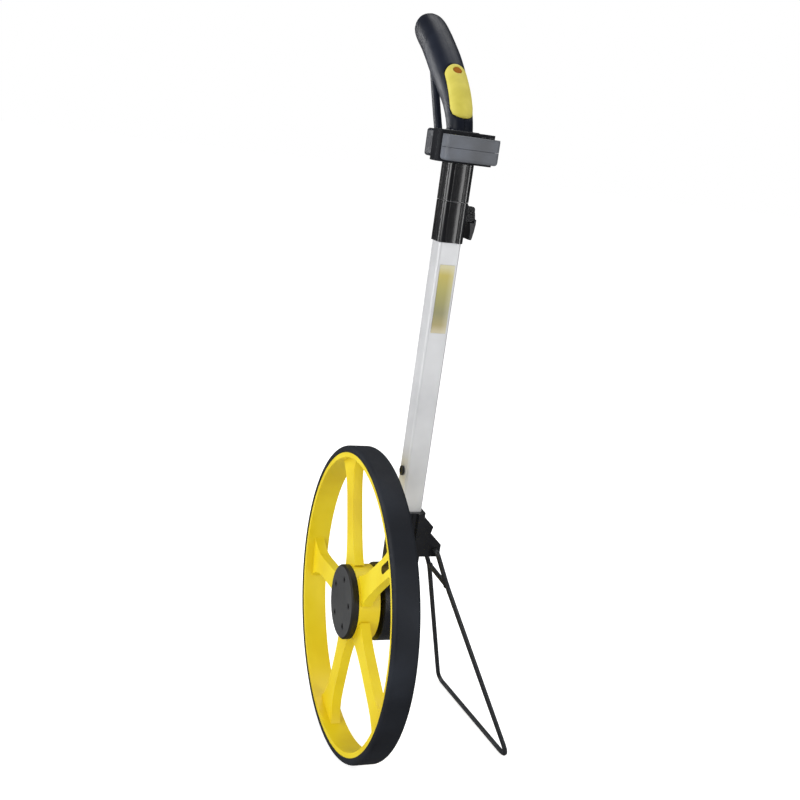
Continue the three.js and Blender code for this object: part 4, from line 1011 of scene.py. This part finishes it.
def cushion_ring(j):
    hole = button_radius + button_gap
    share = 0.5 - 0.5 * math.cos(math.pi * min(max((j - 1) / steps_out, 0), 1))
    ring = []
    for k in range(rays):
        turn = 2 * math.pi * k / rays
        direction = (math.cos(turn), math.sin(turn))
        end = oval_reach(direction)
        reach = hole + (end - hole) * share
        lip = hole_lift_share + (1 - hole_lift_share) * math.sqrt(rolled(reach - hole, hole_roll))
        lift = pad_rise * math.sqrt(rolled(end - reach, rim_roll)) * lip
        if j in (0, steps_out + 2):
            lift = pad_sink
        ring.append(on_pad(button_at + direction[0] * reach, direction[1] * reach, lift))
    return ring


work = bmesh.new()
loft(work, [cushion_ring(j) for j in range(steps_out + 3)], closed_row=True)
pad = show("thumb_pad_finish", meshed("thumb_pad_finish", work), pad_elastomer, "handle", "thumb_pad")
shade(pad.data, degrees=60)
print("pad:", len(pad.data.polygons), "faces")

# %% [markdown]
# ## The path of the stand
# The stand is a single wire bent at six places. Its corners are the hinge on the arm, the brace
# and the two feet, and each bend gets its own reach along the legs. A curve with two ends and one
# handle, the corner itself, turns every bend.

# %% The path of the wire
wire = 2.5
half_span, half_hinge = 27, 11
hinge, brace = (72, 224), (88.5, 187)
near_foot, far_foot = (67, 173, wire), (-107, 157.4, wire)
stand_corners = [Vector(corner) for corner in (
    (half_hinge, *hinge), (half_span, *hinge), (half_span, *brace), near_foot,
    far_foot, (-half_span, *brace), (-half_span, *hinge), (-half_hinge, *hinge))]
bend_reaches = [4, 8, 24, 13, 8, 4]
bend_steps = 10


def bent(points, reaches):
    path = [points[0]]
    for before, corner, after, reach in zip(points, points[1:], points[2:], reaches):
        start = corner + (before - corner).normalized() * reach
        end = corner + (after - corner).normalized() * reach
        for k in range(bend_steps + 1):
            t = k / bend_steps
            path.append(start * (1 - t) ** 2 + corner * (2 * t * (1 - t)) + end * t * t)
    return path + [points[-1]]


stand_path = bent(stand_corners, bend_reaches)
print("points along the wire:", len(stand_path))

# %% [markdown]
# ## The wire, its brace and the welds
# A ring with sixteen points is carried along the path and turned as little as possible on the
# way, so that the skin does not twist. The brace is a second short wire across the legs, and two
# flattened balls stand for the beads of weld that hold it.

# %% Stand with its brace and two beads of weld
wire_sides = 16
weld_radius, weld_flat_share, weld_inset = 3.3, 0.8, 2.2


def swept(work, path):
    rings = []
    across = None
    for i, place in enumerate(path):
        along = (path[min(i + 1, len(path) - 1)] - path[max(i - 1, 0)]).normalized()
        across = along.orthogonal() if across is None else across - along * across.dot(along)
        across.normalize()
        other = along.cross(across)
        turns = [2 * math.pi * k / wire_sides for k in range(wire_sides)]
        rings.append([place + (across * math.cos(turn) + other * math.sin(turn)) * wire for turn in turns])
    loft(work, rings)


work = bmesh.new()
swept(work, stand_path)
swept(work, [Vector((-half_span, *brace)), Vector((half_span, *brace))])
for side in (-1, 1):
    weld = bmesh.ops.create_icosphere(work, subdivisions=3, radius=weld_radius * MM)["verts"]
    bmesh.ops.scale(work, vec=(weld_flat_share, 1, 1), verts=weld)
    bmesh.ops.translate(work, vec=Vector((side * (half_span - weld_inset), *brace)) * MM, verts=weld)
bmesh.ops.recalc_face_normals(work, faces=work.faces)
stand = show("stand_frame_finish", meshed("stand_frame_finish", work), wire_coat, "stand", "stand_frame")
shade(stand.data, degrees=50)
print("stand:", len(stand.data.polygons), "faces")

# %% [markdown]
# ## Floor
# The tool stands on a plain white sheet. The camera sees it lifted to white by some light of its
# own, which keeps a soft shadow under the tread and the stand. Mirror rays see a mid grey
# instead, so that the black plastics stay black.

# %% Floor
half_floor_m = 12
sheet = bmesh.new()
bmesh.ops.create_grid(sheet, x_segments=1, y_segments=1, size=half_floor_m)
floor = bpy.data.objects.new("floor", meshed("floor", sheet))
scene.collection.objects.link(floor)
floor_paint, tree, _ = blank("floor_paint")
seen = node(tree, "ShaderNodeLightPath").outputs
tone = node(tree, "ShaderNodeMix", {6: linear("f2f2f2"), 7: linear("6a6a6a")},
            {0: seen["Is Glossy Ray"]}, data_type="RGBA")
white = node(tree, "ShaderNodeBsdfDiffuse", links={"Color": tone.outputs[2]})
amount = node(tree, "ShaderNodeMath", {1: 0.6}, {0: seen["Is Camera Ray"]}, operation="MULTIPLY")
lift = node(tree, "ShaderNodeEmission", {"Color": (1, 1, 1, 1)}, {"Strength": amount})
close(tree, node(tree, "ShaderNodeAddShader", links={0: white, 1: lift}))
floor.data.materials.append(floor_paint)
print("floor is", 2 * half_floor_m, "m wide")

# %% [markdown]
# ## World
# Rays that come straight from the camera, or through the clear window, see a white world. All
# others see a dimmer one, which fills the shadows softly, and mirror rays a very dim one. So the
# black plastics stay black and only the lamps draw streaks on them.

# %% World
world = bpy.data.worlds.new("room")
scene.world = world
world.use_nodes = True
tree = world.node_tree
tree.nodes.clear()
seen = node(tree, "ShaderNodeLightPath").outputs
direct = node(tree, "ShaderNodeMath", links={0: seen["Is Camera Ray"], 1: seen["Is Transmission Ray"]},
              operation="MAXIMUM")
indirect = node(tree, "ShaderNodeMapRange", {"To Min": 0.52, "To Max": 0.1},
                {"Value": seen["Is Glossy Ray"]})
strength = node(tree, "ShaderNodeMapRange", {"To Max": 1.0},
                {"Value": direct, "To Min": indirect})
sky = node(tree, "ShaderNodeBackground", {"Color": (1, 1, 1, 1)}, {"Strength": strength})
node(tree, "ShaderNodeOutputWorld", links={"Surface": sky})
print("world:", world.name)

# %% [markdown]
# ## Lamps
# The key is a tall soft box at the front left. Two narrow upright boxes, one at the right and one
# at the left, draw the thin streaks on the sleeve and the collar. The rim box behind the left
# side lights only the grip and gives it a pale edge. On the other parts it would wash out the
# black, so light linking keeps it off them. A wide box overhead lifts the top of the tyre.

# %% Lamps
def lamp(name, place, target, size, watts):
    data = bpy.data.lights.new(name, "AREA")
    data.shape = "RECTANGLE"
    data.size, data.size_y = size
    data.energy = watts
    lit = bpy.data.objects.new(name, data)
    lit.location = Vector(place)
    lit.rotation_mode = "QUATERNION"
    lit.rotation_quaternion = (Vector(target) - lit.location).to_track_quat("-Z", "Y")
    scene.collection.objects.link(lit)
    return lit


lamp("key", place=(0.85, -2.1, 1.25), target=(0, 0, 0.4), size=(1.3, 2.0), watts=31)
lamp("strip", place=(1.7, 1.1, 0.75), target=(0, 0.04, 0.5), size=(0.45, 1.7), watts=12.5)
lamp("left", place=(-1.2, -2.0, 0.8), target=(0, 0, 0.5), size=(0.4, 1.8), watts=17)
rim_lamp = lamp("rim", place=(-1.45, -0.8, 0.35), target=(0, 0, 0.55), size=(0.3, 1.4), watts=14)
lit_by_rim = bpy.data.collections.new("lit_by_rim")
for name in ("grip_left_shell_finish", "grip_right_shell_finish", "grip_bead_top"):
    lit_by_rim.objects.link(bpy.data.objects[name])
rim_lamp.light_linking.receiver_collection = lit_by_rim
lamp("top", place=(-0.9, 0.6, 2.6), target=(0, 0, 0.4), size=(1.6, 1.6), watts=18)
print("lamps:", [light.name for light in bpy.data.lights])

# %% [markdown]
# The Standard view keeps a painted colour as it was picked, where a film-like view would grey the
# yellow.

scene.view_settings.view_transform = "Standard"
